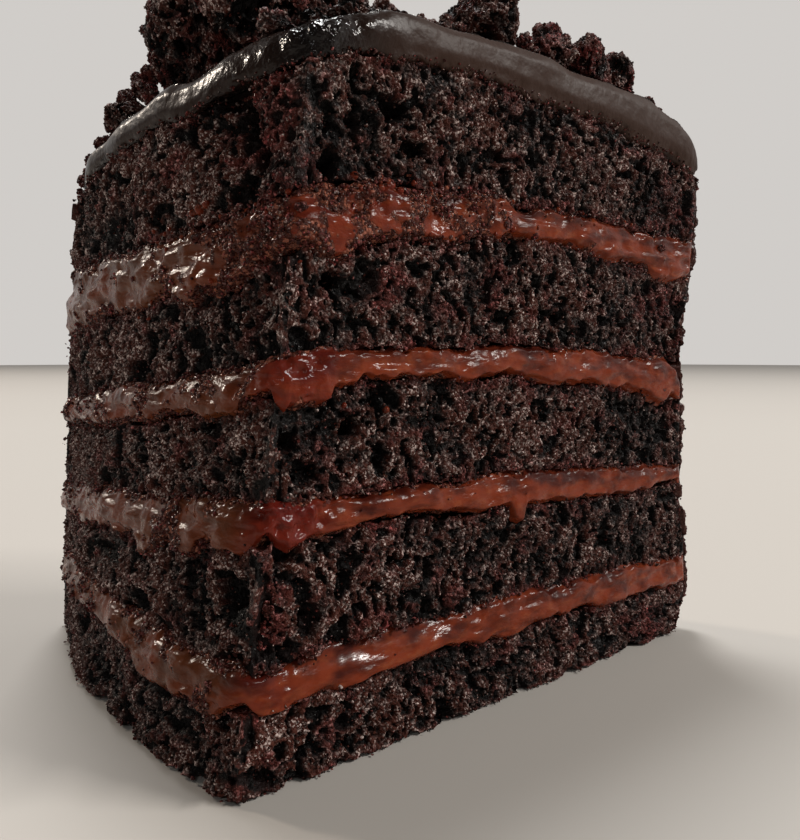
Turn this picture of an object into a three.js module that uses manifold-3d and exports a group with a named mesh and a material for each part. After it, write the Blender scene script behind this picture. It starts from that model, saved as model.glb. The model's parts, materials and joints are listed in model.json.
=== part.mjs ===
// About a quarter of a round five-layer chocolate cake: dark sponge and chocolate filling in
// turn, thick chocolate glaze on top, torn cake and crumbs heaped on the glaze, and a thin
// coat of frosting round the rim.
// Millimetres, +Z up. The long cut face looks along -Y and the short cut face along -X.
// The origin is the middle of the whole box, on the surface that the cake stands on.
// Run with the npm packages three and manifold-3d.

import * as THREE from "three";
import { mergeVertices } from "three/addons/utils/BufferGeometryUtils.js";
import Module from "manifold-3d";

const { clamp, lerp, smoothstep, degToRad } = THREE.MathUtils;
const wasm = await Module();
wasm.setup();

// Driving dimensions

const CAKE_RADIUS = 114;      // a nine inch cake
const LONG_CUT = 118;         // along X, from the front corner to the rim
const SHORT_CUT = 100;        // along Y, from the front corner to the rim
const SHORT_CUT_END = 8;      // how far the short cut has turned towards X at the rim
const SHORT_CUT_BOW = -9;     // pull of the curve that the knife followed
const CORNER_LEAN = 0.13;     // the short cut leans back at the corner, for each mm of height
const FAR_LEAN = 0.05;        // and at the rim
const SLUMP_FROM = 20;        // above this height the far end of the short cut slumps inwards
const SLUMP_REACH = 23;       // by this much at the shoulder
const SHOULDER_HEIGHT = 100;
const RIM_SLUMP_FROM = 0.3;   // share of the rim that doesn't slump
const MIDDLE_SHARE = [0.42, 0.41]; // the middle of the plan, in shares of the two cuts
const GAP = 0.3;              // between pieces that touch

const SHORT_STEPS = 20;       // columns of the outline on each side
const LONG_STEPS = 24;
const RIM_STEPS = 12;

const COAT_DEPTH = 2;         // the frosting on the rim, measured in from the cake's radius
const COAT_FLOOR = 1;
const COAT_BELOW_GLAZE = 1.5;
const COAT_ROWS = 14;
const COAT_CLEAR = 0.8;
const COAT_UNEVEN = 0.7;

// How far the layers swell out over the rim: height and reach, in full at the long cut and
// by a share of it further round.
const RIM_SWELL = [
  [0, -1], [10, 3.5], [22, 2.5], [34, -0.8], [52, -1.5], [66, -3], [80, 1], [90, 2.4], [100, 4.2],
  [108, 2], [140, 2],
];
const RIM_SWELL_ROUND = 0.3;
const RIM_SWELL_FADE = 0.5;   // share of the rim over which the full swell goes

// The rounded shoulder at the rim, by the long cut and by the short one
const SHOULDER_WIDTH = [22, 34];
const GLAZE_FALL = [13, 6];
const SPONGE_FALL = [5, 4];

// Stations round the cuts: the rim end of the short cut, its middle, the front corner, a place
// a little way along the long cut, its middle and its rim end. SEAMS has the heights there.
const STATIONS = [0, 1, 2, 2.25, 3, 4];
const CORNER_STATION = 2;
const LAST_STATION = 4;
const SEAMS = {
  filling_1: [12.5, 15.0, 12.3, 12.8, 12.9, 11.5],
  sponge_2: [21.0, 21.0, 18.8, 19.6, 20.2, 18.0],
  filling_2: [28.5, 32.0, 37.4, 38.6, 36.2, 35.3],
  sponge_3: [36.5, 41.0, 43.6, 43.2, 44.4, 40.0],
  filling_3: [49.0, 51.5, 58.8, 60.4, 60.2, 54.8],
  sponge_4: [55.0, 59.0, 65.6, 66.7, 67.8, 64.0],
  filling_4: [69.0, 72.5, 79.8, 82.5, 85.8, 81.5],
  sponge_5: [84.5, 84.6, 89.5, 92.8, 92.6, 91.2],
  glaze_top: [101.0, 103.5, 108.3, 111.2, 112.2, 107.5],
  air: [105.0, 109.6, 115.0, 118.9, 119.8, 118.0],
};
const SEAM_WAVE = { height: 1.6, length: 13 };
const WAVE_FADE = 0.33;       // stations over which the waves die out at the rim

const SPONGE_CRAGS = 1.8;     // from the deepest to the highest of the cut crumb
const SEAM_CRAGS = 0.5;
const FILLING_BULGE = { least: 0.4, more: 1.1 };
const GLAZE_BULGE = 0.5;
const GLAZE_EDGE = 0.7;       // its upper edge is rounded back by this
const SPONGE_ROWS = [0.2, 0.5, 0.8];
const FILLING_ROWS = [0.3, 0.7];
const GLAZE_ROWS = [0.3, 0.75];
const SEAM_RINGS = [0, 0.1];  // shares of the way from the outline to the middle
const TOP_RINGS = [0, 0.05, 0.12, 0.25, 0.5];
const BED_RINGS = [0.12, 0.25, 0.5];

// Torn holes in the crumb: station on the cuts, height, width and depth.
const HOLES = [
  { station: 1.55, height: 102, width: 4.0, depth: 3.0 },
  { station: 1.7, height: 97, width: 3.0, depth: 2.0 },
  { station: 2.12, height: 72, width: 3.5, depth: 2.2 },
  { station: 2.3, height: 97, width: 3.0, depth: 1.8 },
  { station: 2.9, height: 30, width: 3.0, depth: 1.5 },
  { station: 0.8, height: 66, width: 4.0, depth: 2.0 },
];

// Torn cake on the glaze: place, size and turn about Z in degrees.
const CHUNKS = [
  { at: [26, 46], size: [27, 30, 33], turn: 15 },
  { at: [23, 27], size: [20, 20, 24], turn: 60 },
  { at: [63, 13], size: [18, 15, 17], turn: -20 },
  { at: [47, 42], size: [28, 26, 27], turn: 35 },
  { at: [75, 30], size: [22, 19, 17], turn: 80 },
  { at: [38, 69], size: [25, 20, 22], turn: -40 },
  { at: [70, 52], size: [23, 20, 18], turn: 10 },
  { at: [93, 25], size: [16, 14, 13], turn: 50 },
  { at: [60, 70], size: [18, 16, 15], turn: 70 },
  { at: [91, 43], size: [16, 14, 12], turn: -30 },
  { at: [14, 62], size: [12, 12, 13], turn: 0 },
  { at: [77, 8.5], size: [12, 10, 12], turn: 25 },
  { at: [88, 7], size: [12, 10, 13], turn: -15 },
  { at: [98, 7], size: [10, 9, 12], turn: 40 },
  { at: [13.5, 72.5], size: [9, 9, 9], turn: 20 },
];
const CHUNK_SINK = 2.5;       // a torn piece beds into the crumbs by this much
const FINE_CHUNK = 19;        // torn pieces from this size up have finer crags
const CHUNK_CLEAR = 0.4;      // kept open round each torn piece

// A torn lump is a ball cut by this many breaks, at these shares of its half size
const BREAKS = 9;
const BREAK_DISTANCE = [0.6, 0.95];
const UNBROKEN_REACH = 1.1;
const LUMP_CRAGS = { least: 0.9, more: 0.3, pitch: 2.2 };

// The crumbs between the torn pieces: a bed with lumps as large as peas, most by the two cuts
const BED_DEPTH = 2.2;
const BED_EDGE_DEPTH = 1.5;
const BED_UNEVEN = 1.1;
const LUMPS = 22;
const LUMP_SIZE = { least: 5.0, more: 3.5 };
const LUMP_FLATNESS = 0.7;    // the least depth and height of a lump, as a share of its width
const LUMP_LIFT = 0.12;       // how high its middle stands, as a share of its width
const LUMP_SPACING = 0.6;     // from lump to lump, as a share of its width
const LUMPS_BY_CUTS = 0.7;
const BY_CUTS = [0.12, 0.24]; // shares of the way from the outline to the middle
const INSIDE = [0.15, 0.95];
const LUMP_TRIES = 6000;

const GROUND_FLOOR = 60;      // the solids that cut the torn pieces reach down to here
const GROUND_CLEAR = 0.32;    // and up to this much over the glaze
const SIGHT_HEIGHT = 200;     // from here the ground is sounded

// Seeded noise

function hash(a, b = 0, c = 0) {
  const wave = Math.sin(a * 127.1 + b * 311.7 + c * 74.7 + 19.19) * 43758.5453;
  return wave - Math.floor(wave);
}

function eased(t) {
  return t * t * (3 - 2 * t);
}

function noise1(t, seed) {
  const cell = Math.floor(t);
  return lerp(hash(cell, seed), hash(cell + 1, seed), eased(t - cell));
}

function noise3(point, seed) {
  const level = Math.floor(point.z);
  const row = Math.floor(point.y);
  const across = (y, z) => noise1(point.x, seed + y * 17.3 + z * 41.9);
  const slice = (z) => lerp(across(row, z), across(row + 1, z), eased(point.y - row));
  return lerp(slice(level), slice(level + 1), eased(point.z - level));
}

// Outline of the plan

const corner = new THREE.Vector2(0, 0);
const longEnd = new THREE.Vector2(LONG_CUT, 0);
const shortEnd = new THREE.Vector2(SHORT_CUT_END, SHORT_CUT);
const shortBend = new THREE.Vector2(SHORT_CUT_BOW, SHORT_CUT / 2);
const shortCurve = new THREE.QuadraticBezierCurve(corner, shortBend, shortEnd);
const cakeCentre = circleCentre(longEnd, shortEnd, CAKE_RADIUS);
const middle = new THREE.Vector2(LONG_CUT * MIDDLE_SHARE[0], SHORT_CUT * MIDDLE_SHARE[1]);

// The middle of the circle through two points, on the left of the way from one to the other.
function circleCentre(from, to, radius) {
  const chord = to.clone().sub(from);
  const rise = Math.sqrt(radius * radius - chord.lengthSq() / 4);
  const side = new THREE.Vector2(-chord.y, chord.x).normalize();
  return from.clone().add(to).multiplyScalar(0.5).addScaledVector(side, rise);
}

function slump(height) {
  const share = Math.max(0, height - SLUMP_FROM) / (SHOULDER_HEIGHT - SLUMP_FROM);
  return SLUMP_REACH * share * share;
}

function shortCutPoint(along, height) {
  const point = shortCurve.getPoint(along * (1 - slump(height) / SHORT_CUT));
  point.x += lerp(CORNER_LEAN, FAR_LEAN, along) * height;
  return point;
}

// The swell of the rim at a height, smooth from one measured height to the next.
function rimSwell(height) {
  const next = RIM_SWELL.findIndex(([level]) => level > height);
  const [[low, from], [high, to]] = [RIM_SWELL[Math.max(next - 1, 0)], RIM_SWELL[next]];
  return lerp(from, to, smoothstep(height, low, high));
}

function longCutPoint(along, height) {
  const end = LONG_CUT + rimSwell(height);
  return new THREE.Vector2(lerp(CORNER_LEAN * height, end, along), 0);
}

function rimPoint(along, height) {
  const start = longEnd.clone().sub(cakeCentre).angle();
  const end = shortEnd.clone().sub(cakeCentre).angle();
  const angle = lerp(start, end, along);
  const point = new THREE.Vector2(Math.cos(angle), Math.sin(angle));
  const share = lerp(1, RIM_SWELL_ROUND, smoothstep(along, 0, RIM_SWELL_FADE));
  point.multiplyScalar(CAKE_RADIUS + rimSwell(height) * share).add(cakeCentre);
  const moved = shortCutPoint(1, height).sub(shortEnd);
  return point.addScaledVector(moved, smoothstep(along, RIM_SLUMP_FROM, 1));
}

// One column for each step round the outline. Its station runs from 0 at the rim end of the
// short cut, over 2 at the front corner, to 4 at the rim end of the long cut and on to 5.
function makeColumns() {
  const list = [];
  for (let i = 0; i < SHORT_STEPS; i += 1) {
    const along = 1 - i / SHORT_STEPS;
    list.push({
      station: CORNER_STATION * (1 - along),
      place: (height) => shortCutPoint(along, height),
    });
  }
  for (let i = 0; i < LONG_STEPS; i += 1) {
    const along = i / LONG_STEPS;
    list.push({
      station: lerp(CORNER_STATION, LAST_STATION, along),
      place: (height) => longCutPoint(along, height),
    });
  }
  for (let i = 0; i < RIM_STEPS; i += 1) {
    const along = i / RIM_STEPS;
    list.push({
      station: LAST_STATION + along,
      place: (height) => rimPoint(along, height),
    });
  }
  let travel = 0;
  list.forEach((column, i) => {
    const before = list.at(i - 1).place(0);
    const way = list[(i + 1) % list.length].place(0).sub(before).normalize();
    travel += i > 0 ? column.place(0).distanceTo(before) : 0;
    column.travel = travel;
    column.outward = new THREE.Vector2(way.y, -way.x);
    column.onRim = i === 0 || column.station >= LAST_STATION;
  });
  list[0].outward = shortCurve.getTangent(1);
  list[SHORT_STEPS + LONG_STEPS].outward = new THREE.Vector2(1, 0);
  return list;
}

const columns = makeColumns();
const rimColumns = [...columns.filter((column) => column.station >= LAST_STATION), columns[0]];

function columnPoint(column, height, out) {
  const offset = column.onRim ? out - COAT_DEPTH : out;
  const point = column.place(height).addScaledVector(column.outward, offset);
  return new THREE.Vector3(point.x, point.y, height);
}

// Seams between the pieces

// A smooth curve through the heights, and an even slope back round the rim.
function heightAt(heights, station) {
  if (station > LAST_STATION) {
    return lerp(heights.at(-1), heights[0], station - LAST_STATION);
  }
  const last = STATIONS.length - 1;
  const span = Math.min(last - 1, STATIONS.findLastIndex((start) => start <= station));
  const slopeAt = (k) => {
    const [before, after] = [Math.max(k - 1, 0), Math.min(k + 1, last)];
    return (heights[after] - heights[before]) / (STATIONS[after] - STATIONS[before]);
  };
  const width = STATIONS[span + 1] - STATIONS[span];
  const t = (station - STATIONS[span]) / width;
  const pull = slopeAt(span) * (1 - t) - slopeAt(span + 1) * t;
  const straight = (heights[span + 1] - heights[span]) * (1 - 2 * t) / width;
  return lerp(heights[span], heights[span + 1], t) + width * t * (1 - t) * (pull - straight);
}

// How far a top drops at a place near the rim, as a quarter of an ellipse.
function shoulderFall(point, fall) {
  let nearest = Infinity;
  let along = 0;
  for (let i = 1; i < rimColumns.length; i += 1) {
    const [from, to] = [rimColumns[i - 1], rimColumns[i]].map((c) => c.place(SHOULDER_HEIGHT));
    const way = to.clone().sub(from);
    const share = clamp(point.clone().sub(from).dot(way) / way.lengthSq(), 0, 1);
    const distance = from.clone().lerp(to, share).distanceTo(point);
    if (distance < Math.abs(nearest)) {
      nearest = distance * Math.sign(way.cross(point.clone().sub(from)));
      along = (i - 1 + share) / (rimColumns.length - 1);
    }
  }
  const outness = clamp(1 - nearest / lerp(...SHOULDER_WIDTH, along), 0, 1);
  return lerp(...fall, along) * (1 - Math.sqrt(1 - outness * outness));
}

function makeSeam(name, seed, fall, rimOut) {
  const heights = SEAMS[name];
  const dropAt = (place) => (fall ? shoulderFall(place, fall) : 0);
  const mean = heights.reduce((sum, height) => sum + height, 0) / heights.length;
  const edges = columns.map((column) => {
    const room = Math.min(column.station, Math.max(0, LAST_STATION - column.station));
    const fade = Math.min(1, room / WAVE_FADE);
    const wave = (noise1(column.travel / SEAM_WAVE.length, seed) - 0.5) * SEAM_WAVE.height;
    const level = heightAt(heights, column.station) + wave * fade;
    const out = column.onRim ? rimOut : -hash(column.travel, seed) * SEAM_CRAGS;
    const drop = dropAt(column.place(level));
    const edge = columnPoint(column, level - drop, out);
    return { level, plan: new THREE.Vector2(edge.x, edge.y) };
  });
  const ring = (share, lift) => edges.map(({ level, plan }) => {
    const place = plan.clone().lerp(middle, share);
    const height = lerp(level, mean, share) - dropAt(place);
    return new THREE.Vector3(place.x, place.y, height + lift);
  });
  const centre = (lift) => [new THREE.Vector3(middle.x, middle.y, mean + lift)];
  return { ring, centre };
}

const floorSeam = {
  ring: (share) => columns.map((column) => {
    const foot = columnPoint(column, 0, 0);
    return foot.lerp(new THREE.Vector3(middle.x, middle.y, 0), share);
  }),
  centre: () => [new THREE.Vector3(middle.x, middle.y, 0)],
};
const seams = {};
Object.keys(SEAMS).forEach((name, i) => {
  const fall = { glaze_top: SPONGE_FALL, air: GLAZE_FALL }[name];
  seams[name] = makeSeam(name, i + 1, fall, name === "air" ? COAT_DEPTH : 0);
});

// Building solids

function toGeometry(points, faces) {
  const geometry = new THREE.BufferGeometry().setFromPoints(points);
  geometry.setIndex(faces);
  geometry.computeVertexNormals();
  return geometry;
}

// A closed body from a stack of rings: from the middle of its underside outwards, up its
// wall and in again to the middle of its top. The bands of the underside are split along
// the same diagonals as the top of the piece below it.
function loft(rings, underBands) {
  const starts = rings.map((ring, r) => rings.slice(0, r).flat().length);
  const faces = [];
  for (let r = 0; r < rings.length - 1; r += 1) {
    const [low, high] = [rings[r].length, rings[r + 1].length];
    const count = Math.max(low, high);
    for (let i = 0; i < count; i += 1) {
      const next = (i + 1) % count;
      const a = starts[r] + (i % low);
      const b = starts[r] + (next % low);
      const c = starts[r + 1] + (next % high);
      const d = starts[r + 1] + (i % high);
      if (low === 1) {
        faces.push(a, c, d);
      } else if (high === 1) {
        faces.push(a, b, d);
      } else if (r < underBands) {
        faces.push(a, b, d, b, c, d);
      } else {
        faces.push(a, b, c, a, c, d);
      }
    }
  }
  return toGeometry(rings.flat(), faces);
}

// A piece between two seams, its wall pushed in and out by a function of place.
function layer(under, over, rows, outward, rings = SEAM_RINGS) {
  const lift = GAP / 2;
  const overRings = rings.map((share) => over.ring(share, -lift));
  const underRings = SEAM_RINGS.map((share) => under.ring(share, lift)).reverse();
  const [bottom, top] = [underRings.at(-1), overRings[0]];
  const wall = rows.map((row) => columns.map((column, i) => {
    const height = lerp(bottom[i].z, top[i].z, row);
    return columnPoint(column, height, outward(column, height, row));
  }));
  const all = [under.centre(lift), ...underRings, ...wall, ...overRings, over.centre(-lift)];
  return loft(all, underRings.length);
}

function holeDepth(station, height) {
  const side = station < CORNER_STATION ? SHORT_CUT / 2 : LONG_CUT / 2;
  return HOLES.reduce((depth, hole) => {
    const across = (station - hole.station) * side;
    const away = Math.hypot(across, height - hole.height) / hole.width;
    return depth + hole.depth * Math.exp(-away * away);
  }, 0);
}

function spongeWall(seed) {
  return (column, height, row) => {
    if (column.onRim) {
      return 0;
    }
    const crag = (hash(column.travel, seed, row) - 0.5) * SPONGE_CRAGS;
    return crag - holeDepth(column.station, height);
  };
}

function fillingWall(seed) {
  return (column) => {
    const more = noise1(column.travel / SEAM_WAVE.length, seed + 0.5) * FILLING_BULGE.more;
    return column.onRim ? 0 : FILLING_BULGE.least + more;
  };
}

// On the rim the glaze rolls over the top edge of the frosting.
function glazeWall(column, height, row) {
  const edge = row > 0.5 ? GLAZE_BULGE / 2 : GLAZE_BULGE;
  return column.onRim ? COAT_DEPTH + edge : edge;
}

// The glaze's wall ends a little inside its top outline, so the upper edge is rounded.
function glaze() {
  const air = {
    centre: seams.air.centre,
    ring: (share, lift) => seams.air.ring(share, lift).map((point, i) => {
      const inward = share === 0 ? columns[i].outward : new THREE.Vector2();
      point.x -= inward.x * GLAZE_EDGE;
      point.y -= inward.y * GLAZE_EDGE;
      return point;
    }),
  };
  const underRings = TOP_RINGS.map((share) => seams.glaze_top.ring(share, GAP / 2)).reverse();
  const overRings = TOP_RINGS.map((share) => air.ring(share, 0));
  const [bottom, top] = [underRings.at(-1), overRings[0]];
  const wall = GLAZE_ROWS.map((row) => columns.map((column, i) => {
    const height = lerp(bottom[i].z, top[i].z, row);
    return columnPoint(column, height, glazeWall(column, height, row));
  }));
  const centres = [seams.glaze_top.centre(GAP / 2), air.centre(0)];
  return loft([centres[0], ...underRings, ...wall, ...overRings, centres[1]], underRings.length);
}

// The frosting round the rim: a thin standing shell with flat ends at the two cuts.
function sideCoat() {
  const last = 2 * COAT_ROWS - 1;
  const edges = seams.glaze_top.ring(0, 0);
  const sections = rimColumns.map((column, i) => {
    const head = edges[columns.indexOf(column)].z - COAT_BELOW_GLAZE;
    const heights = Array.from({ length: COAT_ROWS }, (_, k) => (
      lerp(COAT_FLOOR, head, k / (COAT_ROWS - 1))));
    const inner = heights.map((height) => columnPoint(column, height, COAT_CLEAR));
    const outer = heights.map((height, k) => {
      const rounded = k === 0 || k === COAT_ROWS - 1 ? COAT_UNEVEN : 0;
      const uneven = (hash(i, k, 3) - 0.6) * COAT_UNEVEN;
      return columnPoint(column, height, COAT_DEPTH + uneven - rounded);
    });
    return [...inner, ...outer.reverse()];
  });
  const faces = [];
  const quad = (a, b, c, d) => faces.push(a, b, c, a, c, d);
  const count = last + 1;
  for (let s = 0; s < sections.length - 1; s += 1) {
    for (let k = 0; k < count; k += 1) {
      const [near, far] = [s * count, (s + 1) * count];
      const next = (k + 1) % count;
      quad(near + k, near + next, far + next, far + k);
    }
  }
  const end = (sections.length - 1) * count;
  for (let k = 0; k < COAT_ROWS - 1; k += 1) {
    quad(k, last - k, last - k - 1, k + 1);
    quad(end + k, end + k + 1, end + last - k - 1, end + last - k);
  }
  return toGeometry(sections.flat(), faces);
}

// Torn cake and crumbs

function toManifold(geometry) {
  const bare = geometry.clone();
  bare.deleteAttribute("normal");
  bare.deleteAttribute("uv");
  const merged = mergeVertices(bare, 1e-5);
  const vertProperties = new Float32Array(merged.attributes.position.array);
  const triVerts = new Uint32Array(merged.index.array);
  return new wasm.Manifold(new wasm.Mesh({ numProp: 3, vertProperties, triVerts }));
}

function fromManifold(solid) {
  const { vertProperties, triVerts } = solid.getMesh();
  const geometry = new THREE.BufferGeometry();
  geometry.setAttribute("position", new THREE.BufferAttribute(vertProperties, 3));
  geometry.setIndex(new THREE.BufferAttribute(triVerts, 1));
  geometry.computeVertexNormals();
  return geometry;
}

// A torn lump: a ball broken off by seeded planes, with crags, grown all round by a margin.
function tornLump(size, turn, place, detail, seed, margin = 0) {
  const ball = new THREE.IcosahedronGeometry(1, detail);
  ball.deleteAttribute("normal");
  ball.deleteAttribute("uv");
  const lump = mergeVertices(ball);
  const breaks = Array.from({ length: BREAKS }, (_, k) => {
    const rise = 2 * hash(k, seed, 1) - 1;
    const angle = 2 * Math.PI * hash(k, seed, 2);
    const level = Math.sqrt(1 - rise * rise);
    const normal = new THREE.Vector3(level * Math.cos(angle), level * Math.sin(angle), rise);
    return { normal, distance: lerp(...BREAK_DISTANCE, hash(k, seed, 3)) };
  });
  const spot = lump.attributes.position;
  const point = new THREE.Vector3();
  const halfSize = new THREE.Vector3(...size).multiplyScalar(0.5);
  for (let i = 0; i < spot.count; i += 1) {
    point.fromBufferAttribute(spot, i);
    const away = point.clone();
    const reach = breaks.reduce((least, { normal, distance }) => {
      const facing = normal.dot(away);
      return facing > 0 ? Math.min(least, distance / facing) : least;
    }, UNBROKEN_REACH);
    const rough = noise3(point.clone().multiplyScalar(LUMP_CRAGS.pitch), seed);
    const crag = LUMP_CRAGS.least + LUMP_CRAGS.more * rough;
    point.multiplyScalar(reach * crag).multiply(halfSize).addScaledVector(away, margin);
    point.applyAxisAngle(new THREE.Vector3(0, 0, 1), degToRad(turn)).add(place);
    spot.setXYZ(i, point.x, point.y, point.z);
  }
  return toManifold(lump);
}

const bedTop = (share) => seams.air.ring(share, 0).map((point, i) => {
  const rise = share > BED_RINGS[0] ? BED_DEPTH + hash(i, share) * BED_UNEVEN : BED_EDGE_DEPTH;
  return point.setZ(point.z + rise);
});
const bedMiddle = (lift) => seams.air.centre(BED_DEPTH + lift);

function crumbSlab() {
  const under = BED_RINGS.map((share) => seams.air.ring(share, GAP)).reverse();
  const over = BED_RINGS.map((share) => bedTop(share));
  return loft([seams.air.centre(GAP), ...under, ...over, bedMiddle(0)], under.length);
}

// Everything under a surface, down to a flat cut well inside the cake.
function groundUnder(rings, centre) {
  const foot = rings[0].map((point) => point.clone().setZ(GROUND_FLOOR));
  const base = [new THREE.Vector3(middle.x, middle.y, GROUND_FLOOR)];
  return toManifold(loft([base, foot, ...rings, centre], 0));
}

const raised = (ring) => ring.map((point) => point.clone().setZ(point.z + GAP));
const glazeGround = groundUnder(TOP_RINGS.map((share) => seams.air.ring(share, GROUND_CLEAR)),
  seams.air.centre(GROUND_CLEAR));
const bedGround = groundUnder([
  ...TOP_RINGS.slice(0, 2).map((share) => seams.air.ring(share, GAP)),
  ...BED_RINGS.map((share) => raised(bedTop(share))),
], bedMiddle(GAP));

const groundMesh = new THREE.Mesh(fromManifold(bedGround));
const downwards = new THREE.Vector3(0, 0, -1);

function groundHeight(x, y) {
  const ray = new THREE.Raycaster(new THREE.Vector3(x, y, SIGHT_HEIGHT), downwards);
  return ray.intersectObject(groundMesh)[0]?.point.z;
}

function largestBody(solid) {
  return solid.decompose().reduce((a, b) => (b.volume() > a.volume() ? b : a));
}

function makeChunks() {
  const kept = [];
  const chunks = [];
  CHUNKS.forEach(({ at, size, turn }, i) => {
    const height = groundHeight(...at) - CHUNK_SINK + size[2] / 2;
    const place = new THREE.Vector3(at[0], at[1], height);
    const detail = size[0] >= FINE_CHUNK ? 2 : 1;
    const seed = i * 7.7 + 3;
    let solid = tornLump(size, turn, place, detail, seed).subtract(bedGround);
    kept.forEach((other) => {
      solid = solid.subtract(other);
    });
    chunks.push(fromManifold(largestBody(solid)));
    kept.push(tornLump(size, turn, place, detail, seed, CHUNK_CLEAR));
  });
  return chunks;
}

// The bed of crumbs with its lumps, each lump clear of the torn pieces and fused to the bed.
function crumbBed() {
  const spots = [];
  let lumps = null;
  for (let n = 0; n < LUMP_TRIES && spots.length < LUMPS; n += 1) {
    const column = columns[Math.floor(hash(n, 1) * columns.length)];
    const edge = column.place(SHOULDER_HEIGHT);
    const byCuts = spots.length < LUMPS * LUMPS_BY_CUTS && !column.onRim;
    const spot = edge.lerp(middle, lerp(...(byCuts ? BY_CUTS : INSIDE), hash(n, 2)));
    const size = LUMP_SIZE.least + hash(n, 4) * LUMP_SIZE.more;
    const clearOfChunks = CHUNKS.every(({ at, size: wide }) => {
      const reach = (Math.max(wide[0], wide[1]) + size) / 2;
      return spot.distanceTo(new THREE.Vector2(...at)) > reach;
    });
    const clearOfLumps = spots.every((other) => other.distanceTo(spot) > size * LUMP_SPACING);
    if (clearOfChunks && clearOfLumps) {
      spots.push(spot);
      const flat = (k) => size * lerp(LUMP_FLATNESS, 1, hash(n, k));
      const height = groundHeight(spot.x, spot.y) + size * LUMP_LIFT;
      const place = new THREE.Vector3(spot.x, spot.y, height);
      const lump = tornLump([size, flat(5), flat(6)], 360 * hash(n, 7), place, 0, n);
      lumps = lumps ? lumps.add(lump) : lump;
    }
  }
  return fromManifold(largestBody(toManifold(crumbSlab()).add(lumps.subtract(glazeGround))));
}

// Finishes

function finish(color, roughness) {
  return new THREE.MeshStandardMaterial({ color, roughness, metalness: 0 });
}

const spongeFinish = finish("#1c1110", 0.85);
const fillingFinish = finish("#4a2118", 0.3);
const glazeFinish = finish("#15100f", 0.2);
const crumbFinish = finish("#24140f", 0.9);

// The cake

const cake = new THREE.Group();

function addPiece(name, geometry, material) {
  const mesh = new THREE.Mesh(geometry, material);
  mesh.name = name;
  cake.add(mesh);
}

for (let n = 1; n <= 5; n += 1) {
  const under = n === 1 ? floorSeam : seams[`sponge_${n}`];
  const over = seams[n === 5 ? "glaze_top" : `filling_${n}`];
  const rings = n === 5 ? TOP_RINGS : SEAM_RINGS;
  addPiece(`sponge_${n}`, layer(under, over, SPONGE_ROWS, spongeWall(n), rings), spongeFinish);
}
for (let n = 1; n <= 4; n += 1) {
  const [under, over] = [seams[`filling_${n}`], seams[`sponge_${n + 1}`]];
  addPiece(`filling_${n}`, layer(under, over, FILLING_ROWS, fillingWall(n)), fillingFinish);
}
addPiece("glaze_top", glaze(), glazeFinish);
addPiece("side_coat", sideCoat(), fillingFinish);
addPiece("crumb_bed", crumbBed(), crumbFinish);
makeChunks().forEach((chunk, i) => addPiece(`chunk_${i + 1}`, chunk, crumbFinish));

const box = new THREE.Box3().setFromObject(cake);
const centre = box.getCenter(new THREE.Vector3());
cake.position.set(-centre.x, -centre.y, -box.min.z);

export default cake;
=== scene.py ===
"""A cut piece of chocolate layer cake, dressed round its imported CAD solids.

Every piece is in metres in the row frame: +Z up, the long cut looks along -Y and the short cut
along -X. Shapes are worked in millimetres and written back in metres.
"""

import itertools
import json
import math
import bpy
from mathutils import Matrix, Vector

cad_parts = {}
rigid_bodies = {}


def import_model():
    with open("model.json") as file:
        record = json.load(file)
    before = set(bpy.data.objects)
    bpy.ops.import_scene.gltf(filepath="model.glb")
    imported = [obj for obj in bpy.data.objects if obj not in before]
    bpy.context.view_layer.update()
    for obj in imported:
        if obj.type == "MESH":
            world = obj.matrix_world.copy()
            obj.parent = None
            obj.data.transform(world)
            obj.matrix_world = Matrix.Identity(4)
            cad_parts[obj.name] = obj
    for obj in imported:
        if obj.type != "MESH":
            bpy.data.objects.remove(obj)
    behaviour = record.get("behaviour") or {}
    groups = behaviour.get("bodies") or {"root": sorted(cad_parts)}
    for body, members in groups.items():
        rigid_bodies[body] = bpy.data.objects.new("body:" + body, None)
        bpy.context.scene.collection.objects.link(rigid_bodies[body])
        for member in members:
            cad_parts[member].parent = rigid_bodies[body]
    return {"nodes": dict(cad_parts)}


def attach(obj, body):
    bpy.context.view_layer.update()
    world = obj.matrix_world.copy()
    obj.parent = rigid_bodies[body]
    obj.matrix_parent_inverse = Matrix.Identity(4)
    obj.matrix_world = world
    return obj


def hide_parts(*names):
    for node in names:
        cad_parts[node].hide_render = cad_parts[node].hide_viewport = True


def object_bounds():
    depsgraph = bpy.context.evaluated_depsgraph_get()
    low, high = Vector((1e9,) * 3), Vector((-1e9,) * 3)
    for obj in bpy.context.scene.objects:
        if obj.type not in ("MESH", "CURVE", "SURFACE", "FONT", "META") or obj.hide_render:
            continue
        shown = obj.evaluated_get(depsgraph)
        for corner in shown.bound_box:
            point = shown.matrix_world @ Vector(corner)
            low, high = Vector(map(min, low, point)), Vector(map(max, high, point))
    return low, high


bl_info = {
    "name": "Chocolate layer cake piece",
    "version": (1, 0, 0),
    "blender": (4, 5, 0),
    "location": "3D View > Sidebar > Cake",
    "description": "Models and finishes a cut piece of chocolate layer cake",
    "category": "Object",
}

import bmesh
import bpy
import numpy as np
from mathutils import Vector

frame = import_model()
CAD_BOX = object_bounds()

MM = 0.001

# The plan of the cake, in millimetres in the row frame. The front corner leans to the right as
# it goes up, by CORNER_LEAN of its height, and CORNER_TURN is how far its rounding reaches.
FRONT_CORNER = (-59.06, -49.21)
CORNER_LEAN = 0.13
CORNER_TURN = 3.0
CAKE_CENTRE = (-54.18, -63.11)
BOX_LOW = np.array(CAD_BOX[0]) / MM
BOX_HIGH = np.array(CAD_BOX[1]) / MM
# Points keep BOX_GAP from the sides of the box, and slow down over the last BOX_EASE
BOX_GAP = 0.02
BOX_EASE = 0.5

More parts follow.
